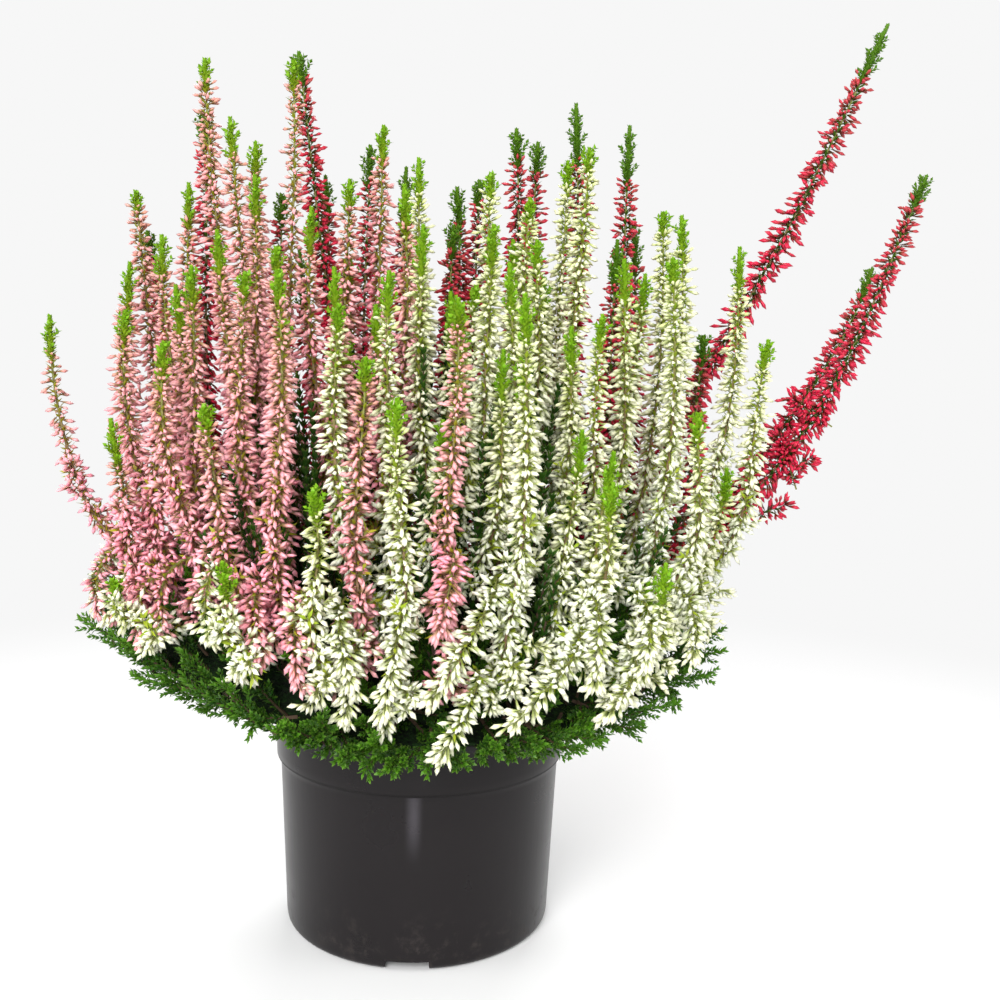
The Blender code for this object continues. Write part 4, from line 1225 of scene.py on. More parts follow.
def inner_sprigs(index, draw):
    """Upright leafy twigs over the plant's crown, between the flowering shoots, tallest in the
    middle."""
    count = INNER_SPRIGS
    azimuth = CLUMP_FIRST_AZIMUTH + SECTOR * (index + draw.uniform(0.02, 0.98, count))
    reach = around(EDGE_REACH, azimuth) * 0.80 * np.sqrt(draw.uniform(0.02, 1.0, count))
    x, y = reach * np.cos(azimuth), reach * np.sin(azimuth)
    start = np.stack([x, y, clump_top(x, y) - 0.014], axis=1)
    lean = 0.30 * reach / 0.1 + draw.normal(0, 0.12, count)
    length = draw.uniform(0.034, 0.052, count) + 0.075 * np.clip(1.15 - reach / 0.09, 0, 1)
    level = np.sin(lean)
    ahead = np.stack([level * np.cos(azimuth), level * np.sin(azimuth), np.cos(lean)], axis=1)
    return [twig_path(start[i], ahead[i], length[i], (0, 0, 0.05), 10) for i in range(count)]


def inner_parts(line, sizes, draw):
    """One upright twig: leaves in rings of four, shorter and brighter towards its tip, and darker than the
    skirt's as painted shade among the flowering shoots.
    """
    length = arc_lengths(line)[-1]
    # Painted shade: a depth of 0.7 to 1.5 darkens these leaves more than the skirt's
    chance = draw.uniform(0.7, 1.5)
    count = len(line)
    steps = np.arange(0.004, length, 0.0034)
    share = steps / length
    parts = [rod(line, np.linspace(0.0007, 0.0003, count), 3, chance, np.linspace(0, 0.5, count))]
    size = sizes.leaf_length * (1.8 - 0.6 * share)
    lean = 0.75 - 0.35 * share
    return parts + leaves_on(line, steps, 4, size, 0.0021, lean, draw, 0.5 * share, chance)


def wood_parts(index, draw):
    """A plant's stem, from the soil into the clump, and the branches that it parts into: each
    runs straight from the stem's top to a point under the skirt, plus a parabola's bow."""
    x, y = stem_place(index)
    low = SOIL_TOP - STEM_DEPTH + 0.001
    high = CLUMP_UNDERSIDE + 0.012
    heights = np.linspace(low, high, 14)
    wave = 0.0004 * np.sin(heights * 310)
    line = np.stack([x + wave, y - wave, heights], axis=1)
    radii = STEM_RADIUS - 0.0002 - 0.10 * (heights - low) ** 1.2
    parts = [rod(line, radii, 12, draw.uniform(), np.zeros(len(line)))]
    middle = CLUMP_FIRST_AZIMUTH + (index + 0.5) * SECTOR
    start = np.array([x, y, high - 0.004])
    share = np.linspace(0, 1, 12)
    bow = np.outer(4 * share * (1 - share), (0, 0, 0.010))
    radii = np.linspace(0.0021, 0.0008, len(share))
    for k in range(BRANCHES):
        azimuth = middle + SECTOR * (k - BRANCHES // 2) / BRANCHES
        target = skirt_point(np.array(0.35 + 0.06 * (k % 4)), np.array(azimuth)) * (0.66, 0.66, 1.0)
        path = start + share[:, None] * (target + (0, 0, 0.004) - start) + bow
        parts.append(rod(path, radii, 6, draw.uniform(), np.full(len(share), 0.1)))
    return parts


def core_part(index):
    """The dense inside of a plant: a closed shell between an upper and a lower surface over a
    third of a circle, both lumpy by sums of sines."""
    columns, rows = 40, 16
    first = CLUMP_FIRST_AZIMUTH + index * SECTOR
    azimuth = first + SECTOR * np.linspace(0, 1, columns)[:, None]
    edge = around(EDGE_REACH, azimuth) - 0.012
    share = np.linspace(0.02, 1.0, rows)[None, :]
    reach = edge * share
    lumps = np.sin(azimuth * 23) * np.sin(reach * 330) + 0.6 * np.sin(azimuth * 51 + reach * 210)
    x, y = reach * np.cos(azimuth), reach * np.sin(azimuth)
    fade = np.minimum((1 - share) * 4, 1.0)
    low = clump_underside(reach, azimuth) + 0.003 + 0.0012 * lumps * fade
    high = np.maximum(clump_top(x, y) - 0.017 + 0.0022 * lumps * fade, low + 0.002)
    high = np.where(share >= 1.0, low + 0.001, high)
    top = np.stack([x, y, high], axis=-1).reshape(-1, 3)
    bottom = np.stack([x, y, low], axis=-1).reshape(-1, 3)
    under = len(top)
    c, r = np.meshgrid(np.arange(columns - 1), np.arange(rows - 1), indexing="ij")
    a = (c * rows + r).ravel()
    b = a + rows
    faces = [
        np.stack([a, a + 1, b + 1], axis=1), np.stack([a, b + 1, b], axis=1),
        np.stack([a + under, b + 1 + under, a + 1 + under], axis=1),
        np.stack([a + under, b + under, b + 1 + under], axis=1),
    ]
    ring = np.concatenate([
        np.arange(rows), np.arange(1, columns) * rows + rows - 1,
        (columns - 1) * rows + np.arange(rows - 2, -1, -1), np.arange(columns - 2, 0, -1) * rows,
    ])
    after = np.roll(ring, -1)
    faces += [
        np.stack([ring, ring + under, after + under], axis=1),
        np.stack([ring, after + under, after], axis=1),
    ]
    points = np.vstack([top, bottom])
    tone = np.zeros((len(points), 4))
    tone[:, 1] = 0.3
    depth = np.full(len(points), 0.3)
    return {"points": points, "faces": np.vstack(faces), "tone": tone, "depth": depth, "material": 2}


# Pot and soil


def turned_part(profile, columns, height_shift=None):
    """A profile of (radius, height) points carried round Z: each grid point lies at its profile
    radius and height and at one of an even set of azimuths. The ends on the axis are closed."""
    profile = np.asarray(profile)
    azimuth = np.arange(columns) * math.tau / columns
    body = profile[1:-1]
    x = body[None, :, 0] * np.cos(azimuth)[:, None]
    y = body[None, :, 0] * np.sin(azimuth)[:, None]
    z = np.broadcast_to(body[None, :, 1], x.shape)
    if height_shift is not None:
        z = z + height_shift(x, y, z)
    rows = len(body)
    ends = np.array([(0, 0, profile[0, 1]), (0, 0, profile[-1, 1])])
    points = np.vstack([np.stack([x, y, z], axis=-1).reshape(-1, 3), ends])
    c, r = np.meshgrid(np.arange(columns), np.arange(rows - 1), indexing="ij")
    a = (c * rows + r).ravel()
    b = (((c + 1) % columns) * rows + r).ravel()
    k = np.arange(columns)
    n = (k + 1) % columns
    top, foot = columns * rows, columns * rows + 1
    faces = np.vstack([
        np.stack([a, a + 1, b + 1], axis=1), np.stack([a, b + 1, b], axis=1),
        np.stack([np.full(columns, top), k * rows, n * rows], axis=1),
        np.stack([np.full(columns, foot), n * rows + rows - 1, k * rows + rows - 1], axis=1),
    ])
    return {"points": points, "faces": faces, "tone": np.zeros((len(points), 4)),
            "depth": np.zeros(len(points)), "material": 0}


def wall_radius(height):
    """Outer radius of the pot's tapered wall at a height."""
    return WALL_FOOT_RADIUS + height / BAND_BOTTOM * (WALL_TOP_RADIUS - WALL_FOOT_RADIUS)


def arc(centre, radius, first, last, count):
    """Points of an arc in the profile's plane, from one angle in degrees to another."""
    turn = np.radians(np.linspace(first, last, count))
    return [(centre[0] + radius * math.cos(a), centre[1] + radius * math.sin(a)) for a in turn]


def pot_profile():
    """The pot from the middle of its floor up the inside, over the lip and down the outside."""
    inner = [(0.0, POT_FLOOR), (0.020, POT_FLOOR), (0.045, POT_FLOOR)]
    inner += arc((wall_radius(POT_FLOOR) - POT_WALL - 0.002, POT_FLOOR + 0.002), 0.002, -90, 0, 5)
    inner += [(wall_radius(h) - POT_WALL, h) for h in np.linspace(0.012, BAND_BOTTOM - 0.001, 8)]
    inner += [(BAND_RADIUS - POT_WALL, BAND_BOTTOM + 0.0015), (RIM_RADIUS - 0.0024, POT_HEIGHT - 0.002)]
    lip = arc((RIM_RADIUS - 0.0013, POT_HEIGHT - 0.0013), 0.0013, 150, -20, 9)
    skirt = [
        (RIM_RADIUS - 0.0002, POT_HEIGHT - 0.0030),
        (RIM_RADIUS - 0.0006, POT_HEIGHT - 0.0037),
        (RIM_RADIUS - 0.0011, POT_HEIGHT - 0.0040),
    ]
    band = [(BAND_RADIUS + 0.0004 * t, BAND_BOTTOM + 0.0008 + 0.0160 * t) for t in np.linspace(1, 0, 6)]
    step = [
        (BAND_RADIUS - 0.0002, BAND_BOTTOM + 0.0002),
        (BAND_RADIUS - 0.0006, BAND_BOTTOM),
        (WALL_TOP_RADIUS + 0.0004, BAND_BOTTOM - 0.0001),
        (WALL_TOP_RADIUS, BAND_BOTTOM - BAND_STEP),
    ]
    wall = [(wall_radius(h), h) for h in np.linspace(BAND_BOTTOM - 0.003, FOOT_ROUNDING + 0.001, 14)]
    foot = arc((WALL_FOOT_RADIUS - FOOT_ROUNDING, FOOT_ROUNDING), FOOT_ROUNDING, 0, -90, 7)
    base = [(0.050, 0.0), (0.040, 0.0), (0.020, 0.0), (0.0, 0.0)]
    return inner + lip + skirt + band + step + wall + foot + base


def cutter(points, faces):
    """A closed shape to cut with, its normals pointing outwards."""
    mesh = bpy.data.meshes.new("cutter")
    mesh.from_pydata(np.asarray(points).tolist(), [], faces)
    mesh.update()
    thing = bpy.data.objects.new("cutter", mesh)
    bpy.context.scene.collection.objects.link(thing)
    return thing


def channel_cutter(azimuth):
    """A bar under the foot from CHANNEL_INNER_END outwards, slightly narrower at the top."""
    ahead = np.array([math.cos(azimuth), math.sin(azimuth), 0.0])
    side = np.array([-math.sin(azimuth), math.cos(azimuth), 0.0])
    below = -0.002
    corners = ((-0.5, below), (0.5, below), (0.47, CHANNEL_HEIGHT), (-0.47, CHANNEL_HEIGHT))
    points = []
    for reach in (CHANNEL_INNER_END, RIM_RADIUS + 0.01):
        for across, height in corners:
            points.append(ahead * reach + side * across * CHANNEL_WIDTH + (0, 0, height))
    faces = [(3, 2, 1, 0), (4, 5, 6, 7), (1, 5, 4, 0), (2, 6, 5, 1), (3, 7, 6, 2), (0, 4, 7, 3)]
    return cutter(points, faces)


def drain_cutter(azimuth):
    """A round bar through the floor, DRAIN_REACH from the middle."""
    size = DRAIN_SIDES
    turn = np.arange(size) * math.tau / size
    centre = np.array([DRAIN_REACH * math.cos(azimuth), DRAIN_REACH * math.sin(azimuth), 0.0])
    points = []
    for height in (-0.01, 0.01):
        points += [centre + (DRAIN_RADIUS * math.cos(a), DRAIN_RADIUS * math.sin(a), height) for a in turn]
    faces = [tuple(range(size - 1, -1, -1)), tuple(range(size, 2 * size))]
    faces += [(k, (k + 1) % size, size + (k + 1) % size, size + k) for k in range(size)]
    return cutter(points, faces)


def cut_out(piece, cutters):
    """Take the cutters out of a piece, and keep the result as its mesh."""
    for thing in cutters:
        boolean = piece.modifiers.new("Cut", "BOOLEAN")
        boolean.object = thing
        boolean.operation = "DIFFERENCE"
        boolean.solver = "EXACT"
    bpy.context.view_layer.update()
    mesh = bpy.data.meshes.new_from_object(piece.evaluated_get(bpy.context.evaluated_depsgraph_get()))
    piece.modifiers.clear()
    piece.data = mesh
    for thing in cutters:
        bpy.data.objects.remove(thing, do_unlink=True)


def soil_profile():
    """The soil from the middle of its top, which falls as a parabola to the rim, down beside the
    pot's wall and under to the middle of its floor, clear of the pot."""
    inset = POT_WALL + SOIL_GAP
    edge = BAND_RADIUS - inset
    floor = POT_FLOOR + 2 * SOIL_GAP
    top = [(r, SOIL_TOP - SOIL_FALL * (r / 0.062) ** 2) for r in np.linspace(0.001, edge, 36)]
    side = [
        (edge, BAND_BOTTOM + 0.0020),
        (WALL_TOP_RADIUS - inset, BAND_BOTTOM),
        (wall_radius(POT_FLOOR) - inset - 0.002, floor),
    ]
    return [(0.0, SOIL_TOP), *top, *side, (0.0, floor)]


def soil_relief(x, y, z):
    """Crumbs on the soil's top: sums of sines of several sizes, nothing below the surface."""
    top = np.clip((z - BAND_BOTTOM - 0.006) / 0.002, 0, 1)
    crumbs = np.sin(x * 610 + 2 * np.sin(y * 400)) * np.sin(y * 570 + 2 * np.sin(x * 430))
    coarse = np.sin(170 * x) * np.cos(190 * y)
    return top * (0.0009 * crumbs + 0.0008 * coarse)


# Materials

TONE_GROUP = "heather_tone"
# Each plant's buds: where they join the stem, at their tip, and while they are young
BUD_COLOURS = {
    "pink": ((0.23, 0.16, 0.04), (0.98, 0.61, 0.67), (0.52, 0.23, 0.11)),
    "white": ((0.32, 0.39, 0.06), (0.97, 0.96, 0.78), (0.48, 0.55, 0.13)),
    "red": ((0.08, 0.05, 0.012), (0.70, 0.025, 0.08), (0.34, 0.07, 0.05)),
}
DUST_TOP = 0.030
DUST_COLOUR = (0.17, 0.14, 0.12, 1)
# Colour of the painted highlight on the pot's front
PAINTED_HIGHLIGHT_COLOUR = (0.085, 0.078, 0.090, 1)
# Colour of the painted shade line under the rim band's edge
BAND_EDGE_SHADE_COLOUR = (0.004, 0.003, 0.003, 1)
FIBRE_COLOUR = (0.20, 0.14, 0.09, 1)
# A colour mix node's sockets: its factor and its two colours, then its result
MIX_INPUTS = (0, 6, 7)
MIX_OUTPUT = 2


def feed(tree, sockets, values):
    """Give sockets their values. Each is another socket to link, or a value to set."""
    for socket, value in zip(sockets, values):
        if isinstance(value, bpy.types.NodeSocket):
            tree.links.new(value, socket)
        else:
            socket.default_value = value


def mix_colours(tree, factor, first, second):
    """A mix of two colours."""
    node = tree.nodes.new("ShaderNodeMix")
    node.data_type = "RGBA"
    feed(tree, [node.inputs[place] for place in MIX_INPUTS], (factor, first, second))
    return node.outputs[MIX_OUTPUT]


def math_node(tree, operation, *values, clamp=False):
    """A maths node's result."""
    node = tree.nodes.new("ShaderNodeMath")
    node.operation = operation
    node.use_clamp = clamp
    feed(tree, node.inputs, values)
    return node.outputs[0]


def product(tree, first, second):
    """One value times another."""
    return math_node(tree, "MULTIPLY", first, second)


def rest_of(tree, value):
    """One minus a value."""
    return math_node(tree, "SUBTRACT", 1.0, value)


def shade_of(colour, share):
    """A colour made darker or lighter by a share, with its alpha."""
    return (*(share * value for value in colour), 1)


def add_bump(tree, shader, height, strength, distance):
    """Bump from a height, where a height of one stands as far proud as the distance."""
    bump = tree.nodes.new("ShaderNodeBump")
    bump.inputs["Strength"].default_value = strength
    bump.inputs["Distance"].default_value = distance
    tree.links.new(height, bump.inputs["Height"])
    tree.links.new(bump.outputs["Normal"], shader.inputs["Normal"])


def ramp_between(tree, value, low, high):
    """The value's place from low to high, smoothly from 0 to 1."""
    node = tree.nodes.new("ShaderNodeMapRange")
    node.interpolation_type = "SMOOTHSTEP"
    tree.links.new(value, node.inputs["Value"])
    node.inputs["From Min"].default_value = low
    node.inputs["From Max"].default_value = high
    return node.outputs["Result"]


def noise(tree, scale, detail, roughness, vector=None):
    """Noise in the piece's own space, or on another vector."""
    node = tree.nodes.new("ShaderNodeTexNoise")
    node.inputs["Scale"].default_value = scale
    node.inputs["Detail"].default_value = detail
    node.inputs["Roughness"].default_value = roughness
    if vector is None:
        vector = tree.nodes.new("ShaderNodeTexCoord").outputs["Object"]
    tree.links.new(vector, node.inputs["Vector"])
    return node.outputs["Fac"]


def attribute(tree, name):
    """The Attribute node of a named attribute of the mesh."""
    node = tree.nodes.new("ShaderNodeAttribute")
    node.attribute_name = name
    return node


def tone_group():
    """What the small shapes are shaded by: place along the shape, a chance value, place along
    the shoot, the sepal's ridge, and the shoot's own depth of colour."""
    outputs = ("Along", "Chance", "Height", "Ridge", "Depth")
    group = bpy.data.node_groups.new(TONE_GROUP, "ShaderNodeTree")
    for label in outputs:
        group.interface.new_socket(name=label, in_out="OUTPUT", socket_type="NodeSocketFloat")
    sink = group.nodes.new("NodeGroupOutput")
    tone = attribute(group, "tone")
    split = group.nodes.new("ShaderNodeSeparateColor")
    group.links.new(tone.outputs["Color"], split.inputs["Color"])
    sources = [*split.outputs, tone.outputs["Alpha"], attribute(group, "depth").outputs["Fac"]]
    for label, source in zip(outputs, sources):
        group.links.new(source, sink.inputs[label])
    return group


def new_material(name, roughness, specular):
    """A material, its node tree and its Principled shader."""
    material = bpy.data.materials.new(name)
    material.use_nodes = True
    tree = material.node_tree
    shader = tree.nodes["Principled BSDF"]
    shader.inputs["Roughness"].default_value = roughness
    shader.inputs["Specular IOR Level"].default_value = specular
    return material, tree, shader


def tone_values(tree):
    """The outputs of the shared tone group, built once, in a material."""
    node = tree.nodes.new("ShaderNodeGroup")
    node.node_tree = bpy.data.node_groups.get(TONE_GROUP) or tone_group()
    return node.outputs


def bud_material(name, pale, deep, base, tip, young):
    """Buds: deep low on the shoot and pale high up, greenish where they join the stem, lighter
    at the tip and along each sepal, no two quite alike, and not yet coloured near the top. On the
    white plant the cool, greyer low colour is painted shade."""
    material, tree, shader = new_material(name, 0.38, 0.28)
    tone = tone_values(tree)
    high = math_node(tree, "SUBTRACT", ramp_between(tree, tone["Height"], 0.0, 0.75), 0.45)
    vary = math_node(tree, "MULTIPLY_ADD", tone["Depth"], 0.9, high, clamp=True)
    body = mix_colours(tree, vary, (*deep, 1), (*pale, 1))
    body = mix_colours(tree, product(tree, tone["Chance"], 0.40), body, (*tip, 1))
    dull = rest_of(tree, ramp_between(tree, tone["Chance"], 0.0, 0.40))
    body = mix_colours(tree, product(tree, dull, 0.20), body, (*base, 1))
    unripe = math_node(tree, "ADD", tone["Height"], product(tree, tone["Chance"], 0.30))
    unripe = product(tree, ramp_between(tree, unripe, 0.80, 1.20), 0.85)
    body = mix_colours(tree, unripe, body, (*young, 1))
    body = mix_colours(tree, product(tree, tone["Ridge"], 0.36), body, (*tip, 1))
    far = product(tree, ramp_between(tree, tone["Along"], 0.70, 1.0), 0.55)
    body = mix_colours(tree, far, body, (*tip, 1))
    near = rest_of(tree, ramp_between(tree, tone["Along"], 0.08, 0.58))
    body = mix_colours(tree, product(tree, near, 0.85), body, (*base, 1))
    tree.links.new(body, shader.inputs["Base Color"])
    return material


def leaf_material(name, young, old, pale):
    """Scale leaves: dark low down and bright at the young end, paler towards each leaf's tip,
    some brighter than their neighbours, and some sprigs darker than others."""
    material, tree, shader = new_material(name, 0.5, 0.20)
    tone = tone_values(tree)
    body = mix_colours(tree, ramp_between(tree, tone["Height"], 0.25, 1.0), (*old, 1), (*young, 1))
    body = mix_colours(tree, product(tree, tone["Chance"], 0.35), body, (*young, 1))
    # Depth darkens leaves: at random on the skirt's sprigs, and further on the upright inner twigs, as
    # painted shade
    body = mix_colours(tree, product(tree, tone["Depth"], 0.45), body, shade_of(old, 0.45))
    far = product(tree, ramp_between(tree, tone["Along"], 0.55, 1.0), 0.40)
    body = mix_colours(tree, far, body, (*pale, 1))
    tree.links.new(body, shader.inputs["Base Color"])
    return material


def bark_material(name, bark, green):
    """Stems: brown low down, turning olive towards the tip, with a fine grain all over."""
    material, tree, shader = new_material(name, 0.75, 0.25)
    tone = tone_values(tree)
    body = mix_colours(tree, ramp_between(tree, tone["Height"], 0.35, 1.0), (*bark, 1), (*green, 1))
    grain = noise(tree, 900.0, 4.0, 0.55)
    body = mix_colours(tree, product(tree, grain, 0.6), body, shade_of(bark, 0.4))
    tree.links.new(body, shader.inputs["Base Color"])
    add_bump(tree, shader, grain, 0.5, 0.0003)
    return material


def core_material(colour):
    """The dense inside of a plant: leaves too deep to tell apart, as fine bumpy noise, coloured in painted
    shade, the leaf colour darkened to between a tenth and three quarters.
    """
    material, tree, shader = new_material("dense_foliage", 0.8, 0.2)
    fine = noise(tree, 520.0, 5.0, 0.7)
    # Painted shade in flecks: darkest where the noise is low, lighter where it is high
    lit = ramp_between(tree, fine, 0.40, 0.68)
    body = mix_colours(tree, lit, shade_of(colour, 0.10), shade_of(colour, 0.75))
    tree.links.new(body, shader.inputs["Base Color"])
    add_bump(tree, shader, fine, 1.0, 0.0025)
    return material


def plastic_material(colour):
    """Thin nursery-pot plastic: satin, with a faint flow grain, a painted highlight as one pale upright
    streak in front, a painted shade line under the rim band's edge and dust near the foot."""
    material, tree, shader = new_material("pot_plastic", 0.36, 0.22)
    coordinates = tree.nodes.new("ShaderNodeTexCoord").outputs["Object"]
    split = tree.nodes.new("ShaderNodeSeparateXYZ")
    tree.links.new(coordinates, split.inputs["Vector"])
    cloud = noise(tree, 38.0, 4.0, 0.6, coordinates)
    stretch = tree.nodes.new("ShaderNodeMapping")
    stretch.inputs["Scale"].default_value = (1.0, 1.0, 0.12)
    tree.links.new(coordinates, stretch.inputs["Vector"])
    streaks = noise(tree, 420.0, 3.0, 0.6, stretch.outputs["Vector"])
    x, y, z = split.outputs
    low = rest_of(tree, ramp_between(tree, z, 0.0, DUST_TOP))
    specks = ramp_between(tree, noise(tree, 160.0, 6.0, 0.75, coordinates), 0.50, 0.72)
    dust = product(tree, low, specks)
    body = mix_colours(tree, product(tree, cloud, 0.5), (*colour, 1), shade_of(colour, 1.5))
    body = mix_colours(tree, product(tree, dust, 0.13), body, DUST_COLOUR)
    # Painted highlight: a pale upright streak on the front, fading in upwards and stopping under the rim
    # band
    beside = math_node(tree, "ABSOLUTE", math_node(tree, "SUBTRACT", x, PAINTED_HIGHLIGHT_PLACE))
    painted_highlight = ramp_between(tree, beside, PAINTED_HIGHLIGHT_HALF_WIDTH, 0.0)
    painted_highlight = product(tree, painted_highlight, ramp_between(tree, z, PAINTED_HIGHLIGHT_FOOT, PAINTED_HIGHLIGHT_FULL))
    painted_highlight = product(tree, painted_highlight, math_node(tree, "LESS_THAN", y, 0.0))
    below_band = math_node(tree, "LESS_THAN", z, BAND_BOTTOM - BAND_STEP)
    painted_highlight = product(tree, painted_highlight, product(tree, below_band, 0.50))
    body = mix_colours(tree, painted_highlight, body, PAINTED_HIGHLIGHT_COLOUR)
    # Painted shade: a dark line along the rim band's lower edge, where shade falls under the band; it is
    # also rougher there
    edge = math_node(tree, "ABSOLUTE", math_node(tree, "SUBTRACT", z, BAND_BOTTOM))
    edge = rest_of(tree, ramp_between(tree, edge, 0.0004, 0.0014))
    body = mix_colours(tree, product(tree, edge, 0.7), body, BAND_EDGE_SHADE_COLOUR)
    tree.links.new(body, shader.inputs["Base Color"])
    rough = math_node(tree, "MULTIPLY_ADD", cloud, 0.14, 0.22)
    rough = math_node(tree, "MULTIPLY_ADD", dust, 0.30, rough)
    rough = math_node(tree, "MULTIPLY_ADD", edge, 0.35, rough)
    tree.links.new(rough, shader.inputs["Roughness"])
    add_bump(tree, shader, streaks, 0.12, 0.0002)
    return material


def peat_material(colour):
    """Moist peat: dark crumbs with paler fibres between them."""
    material, tree, shader = new_material("moist_peat", 0.92, 0.2)
    coordinates = tree.nodes.new("ShaderNodeTexCoord").outputs["Object"]
    crumbs = tree.nodes.new("ShaderNodeTexVoronoi")
    crumbs.inputs["Scale"].default_value = 420.0
    tree.links.new(coordinates, crumbs.inputs["Vector"])
    fibres = ramp_between(tree, noise(tree, 700.0, 5.0, 0.7, coordinates), 0.58, 0.70)
    distance = crumbs.outputs["Distance"]
    body = mix_colours(tree, distance, shade_of(colour, 0.5), shade_of(colour, 1.9))
    body = mix_colours(tree, product(tree, fibres, 0.5), body, FIBRE_COLOUR)
    tree.links.new(body, shader.inputs["Base Color"])
    add_bump(tree, shader, distance, 0.9, 0.0012)
    return material


# Operators


def finish_piece(piece, slot, *nodes):
    """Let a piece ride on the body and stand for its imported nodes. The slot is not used."""
    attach(piece, "root")
    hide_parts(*nodes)


class HEATHER_OT_pot(bpy.types.Operator):
    """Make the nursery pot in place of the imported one"""

    bl_idname = "heather.pot"
    bl_label = "Nursery pot"

    def execute(self, context):
        colours = context.scene.heather_colours
        material = plastic_material(tuple(colours.plastic))
        piece = new_piece("nursery_pot", [turned_part(pot_profile(), POT_COLUMNS)], [material])
        cutters = []
        for k in range(CHANNEL_COUNT):
            azimuth = math.radians(-90) + k * math.tau / CHANNEL_COUNT
            cutters += [channel_cutter(azimuth), drain_cutter(azimuth)]
        cut_out(piece, cutters)
        piece.data.set_sharp_from_angle(angle=math.radians(50))
        finish_piece(piece, "pot", "pot")
        return {"FINISHED"}


class HEATHER_OT_soil(bpy.types.Operator):
    """Make the crumbly peat in place of the packed soil"""

    bl_idname = "heather.soil"
    bl_label = "Peat soil"

    def execute(self, context):
        colours = context.scene.heather_colours
        part = turned_part(soil_profile(), 72, soil_relief)
        piece = new_piece("peat_soil", [part], [peat_material(tuple(colours.peat))])
        finish_piece(piece, "soil", "soil")
        return {"FINISHED"}


class HEATHER_OT_skirts(bpy.types.Operator):
    """Make each plant's stem, branches and leafy sprigs in place of its packed foliage"""

    bl_idname = "heather.skirts"
    bl_label = "Leafy skirts"

    def execute(self, context):
        sizes, colours = context.scene.heather_sizes, context.scene.heather_colours
        green, tip = tuple(colours.skirt_leaf), tuple(colours.skirt_tip)
        leaf = leaf_material("skirt_leaf", tip, green, (0.22, 0.34, 0.05))
        bark = bark_material("woody_stem", tuple(colours.bark), tip)
        core = core_material(green)
        for index, colour in enumerate(CLUMP_ORDER):
            draw = np.random.default_rng(SKIRT_SEED + index)
            parts = wood_parts(index, draw) + [core_part(index)]
            for line in sprig_lines(index, sizes, draw):
                parts += sprig_parts(line, sizes, draw)
            for line in inner_sprigs(index, draw):
                parts += inner_parts(line, sizes, draw)
            piece = new_piece(f"{colour}_plant_skirt", parts, [leaf, bark, core], smooth=False)
            finish_piece(piece, "foliage", f"{colour}_plant_foliage")
        return {"FINISHED"}


class HEATHER_OT_flowers(bpy.types.Operator):
    """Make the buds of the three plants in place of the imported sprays"""

    bl_idname = "heather.flowers"
    bl_label = "Buds"

    def execute(self, context):
        sizes, colours = context.scene.heather_sizes, context.scene.heather_colours
        materials = {
            colour: bud_material(
                f"{colour}_bud",
                tuple(getattr(colours, f"{colour}_pale")),
                tuple(getattr(colours, f"{colour}_deep")),
                *BUD_COLOURS[colour])
            for colour in BUD_COLOURS
        }
        draw = np.random.default_rng(FLOWER_SEED)
        for colour in CLUMP_ORDER:
            own = sorted((s for s in laid_out() if s.colour == colour), key=lambda s: s.home[1])
            half = len(own) // 2
            for place, some in (("front", own[:half]), ("back", own[half:])):
                parts = flower_parts(some, sizes, FLOWER_SEED + len(some))
                for line in hanging_lines(colour) if place == "front" else ():
                    size, step = THIN_CLUSTER if line[-1, 0] < THIN_CLUSTERS_END else FULL_CLUSTER
                    end = arc_lengths(line)[-1]
                    parts += buds_on(line, 0.004, end, sizes, draw, 0.5, size, step, True)
                piece = new_piece(f"{colour}_buds_{place}", parts, [materials[colour]])
                finish_piece(piece, f"{colour}_flowers", *sorted({s.spray for s in some}))
        return {"FINISHED"}


class HEATHER_OT_greens(bpy.types.Operator):
    """Make the shoots' stems, small leaves and leafy tips"""

    bl_idname = "heather.greens"
    bl_label = "Stems and leafy tips"

    def execute(self, context):
        sizes, colours = context.scene.heather_sizes, context.scene.heather_colours
        bright, dark = tuple(colours.bright_leaf), tuple(colours.dark_leaf)
        old = tuple(colours.skirt_leaf)
        leaves = {
            "pink": leaf_material("pink_plant_leaf", bright, (0.36, 0.29, 0.025), (0.34, 0.46, 0.04)),
            "white": leaf_material("white_plant_leaf", bright, (0.31, 0.36, 0.025), (0.36, 0.50, 0.04)),
            "red": leaf_material("red_plant_leaf", dark, old, (0.16, 0.32, 0.03)),
        }
        brown = tuple(3.6 * value for value in colours.bark)
        bark = bark_material("shoot_stem", brown, (0.27, 0.32, 0.07))
        draw = np.random.default_rng(GREEN_SEED)
        for colour in CLUMP_ORDER:
            own = [s for s in laid_out() if s.colour == colour]
            parts = green_parts(own, sizes, GREEN_SEED)
            for line in hanging_lines(colour):
                parts += twig_parts(line, 0.5, sizes, draw)
            piece = new_piece(f"{colour}_shoot_leaves", parts, [leaves[colour], bark], smooth=False)
            finish_piece(piece, "foliage", *sorted({s.spray for s in own}))
        return {"FINISHED"}


def seen_strength(tree, studio):
    """The backdrop's brightness where the camera looks, and the even light's for all else."""
    seen = tree.nodes.new("ShaderNodeLightPath").outputs["Is Camera Ray"]
    rise = studio.backdrop - studio.sky_strength
    return math_node(tree, "MULTIPLY_ADD", seen, rise, studio.sky_strength)


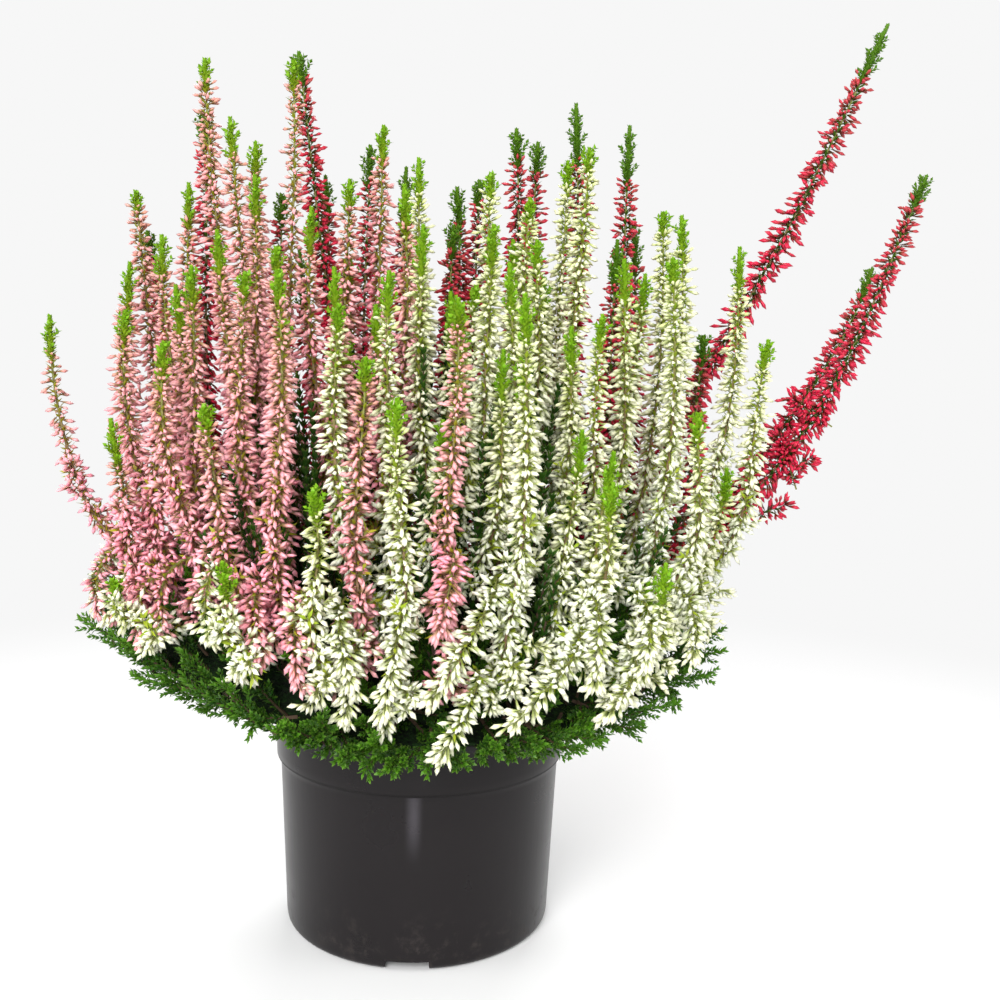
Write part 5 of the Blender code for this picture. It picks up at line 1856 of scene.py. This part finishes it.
def floor_material(studio):
    """A pale matt floor that turns, away from the pot, into the even white of the backdrop."""
    material, tree, shader = new_material("pale_floor", 0.85, 0.2)
    shader.inputs["Base Color"].default_value = (*studio.floor_colour, 1)
    coordinates = tree.nodes.new("ShaderNodeTexCoord").outputs["Object"]
    length = tree.nodes.new("ShaderNodeVectorMath")
    length.operation = "LENGTH"
    tree.links.new(coordinates, length.inputs[0])
    glow = tree.nodes.new("ShaderNodeEmission")
    tree.links.new(seen_strength(tree, studio), glow.inputs["Strength"])
    blend = tree.nodes.new("ShaderNodeMixShader")
    tree.links.new(ramp_between(tree, length.outputs["Value"], 0.16, 0.75), blend.inputs[0])
    tree.links.new(shader.outputs[0], blend.inputs[1])
    tree.links.new(glow.outputs[0], blend.inputs[2])
    tree.links.new(blend.outputs[0], tree.nodes["Material Output"].inputs["Surface"])
    return material


def soft_light(name, place, aim, size, power):
    """A rectangular area light that faces a point."""
    light = bpy.data.lights.new(name, "AREA")
    light.shape = "RECTANGLE"
    light.size, light.size_y = size
    light.energy = power
    thing = bpy.data.objects.new(name, light)
    bpy.context.scene.collection.objects.link(thing)
    ahead = unit(np.asarray(aim, dtype=float) - np.asarray(place, dtype=float))
    side = unit(np.cross(ahead, (0.0, 0.0, 1.0)))
    turn = Matrix((side, np.cross(side, ahead), -ahead)).transposed().to_4x4()
    turn.translation = place
    thing.matrix_world = turn
    return thing


class HEATHER_OT_studio(bpy.types.Operator):
    """Make the pale floor, the soft light and the camera"""

    bl_idname = "heather.studio"
    bl_label = "Floor, light and camera"

    def execute(self, context):
        scene = context.scene
        studio = scene.heather_studio
        floor_part = turned_part(FLOOR_PROFILE, 64)
        floor_part["points"][:, 2] -= FLOOR_GAP
        new_piece("floor", [floor_part], [floor_material(studio)], smooth=False)
        soft_light("front_light", *FRONT_LIGHT, studio.key_power)
        for name, (place, aim, size, share) in SIDE_LIGHTS.items():
            light = soft_light(name, place, aim, size, share * studio.side_power)
            light.visible_diffuse = name != "strip_light"
        world = bpy.data.worlds.new("studio")
        world.use_nodes = True
        tree = world.node_tree
        tree.links.new(seen_strength(tree, studio), tree.nodes["Background"].inputs["Strength"])
        tree.nodes["Background"].inputs["Color"].default_value = (1.0, 1.0, 1.0, 1)
        scene.world = world
        scene.view_settings.view_transform = "Standard"
        camera = bpy.data.cameras.new("camera")
        camera.lens = CAMERA_LENS
        camera.sensor_width = 36.0
        camera.clip_start = 0.01
        thing = bpy.data.objects.new("camera", camera)
        scene.collection.objects.link(thing)
        down = Matrix.Rotation(math.radians(90) - CAMERA_DOWN, 4, "X")
        roll = Matrix.Rotation(CAMERA_ROLL, 4, "Z")
        thing.matrix_world = Matrix.Translation(CAMERA_PLACE) @ down @ roll
        scene.camera = thing
        return {"FINISHED"}


class HEATHER_PT_panel(bpy.types.Panel):
    """The steps that dress the potted heather"""

    bl_idname = "HEATHER_PT_panel"
    bl_label = "Potted Heather"
    bl_space_type = "VIEW_3D"
    bl_region_type = "UI"
    bl_category = "Heather"

    def draw(self, context):
        scene = context.scene
        for settings in (scene.heather_sizes, scene.heather_colours, scene.heather_studio):
            box = self.layout.box()
            for name in settings.bl_rna.properties.keys():
                if name not in ("rna_type", "name"):
                    box.prop(settings, name)
        for operator in OPERATORS:
            self.layout.operator(operator.bl_idname)


OPERATORS = (
    HEATHER_OT_pot,
    HEATHER_OT_soil,
    HEATHER_OT_skirts,
    HEATHER_OT_flowers,
    HEATHER_OT_greens,
    HEATHER_OT_studio,
)
CLASSES = (HeatherSizes, HeatherColours, HeatherStudio, *OPERATORS, HEATHER_PT_panel)


def register():
    """Add the classes and the scene's settings."""
    for kind in CLASSES:
        bpy.utils.register_class(kind)
    bpy.types.Scene.heather_sizes = PointerProperty(type=HeatherSizes)
    bpy.types.Scene.heather_colours = PointerProperty(type=HeatherColours)
    bpy.types.Scene.heather_studio = PointerProperty(type=HeatherStudio)


def unregister():
    """Take them away again."""
    del bpy.types.Scene.heather_studio
    del bpy.types.Scene.heather_colours
    del bpy.types.Scene.heather_sizes
    for kind in reversed(CLASSES):
        bpy.utils.unregister_class(kind)


def main():
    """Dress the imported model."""
    register()
    bpy.ops.heather.pot()
    bpy.ops.heather.soil()
    bpy.ops.heather.skirts()
    bpy.ops.heather.flowers()
    bpy.ops.heather.greens()
    bpy.ops.heather.studio()


if __name__ == "__main__":
    main()
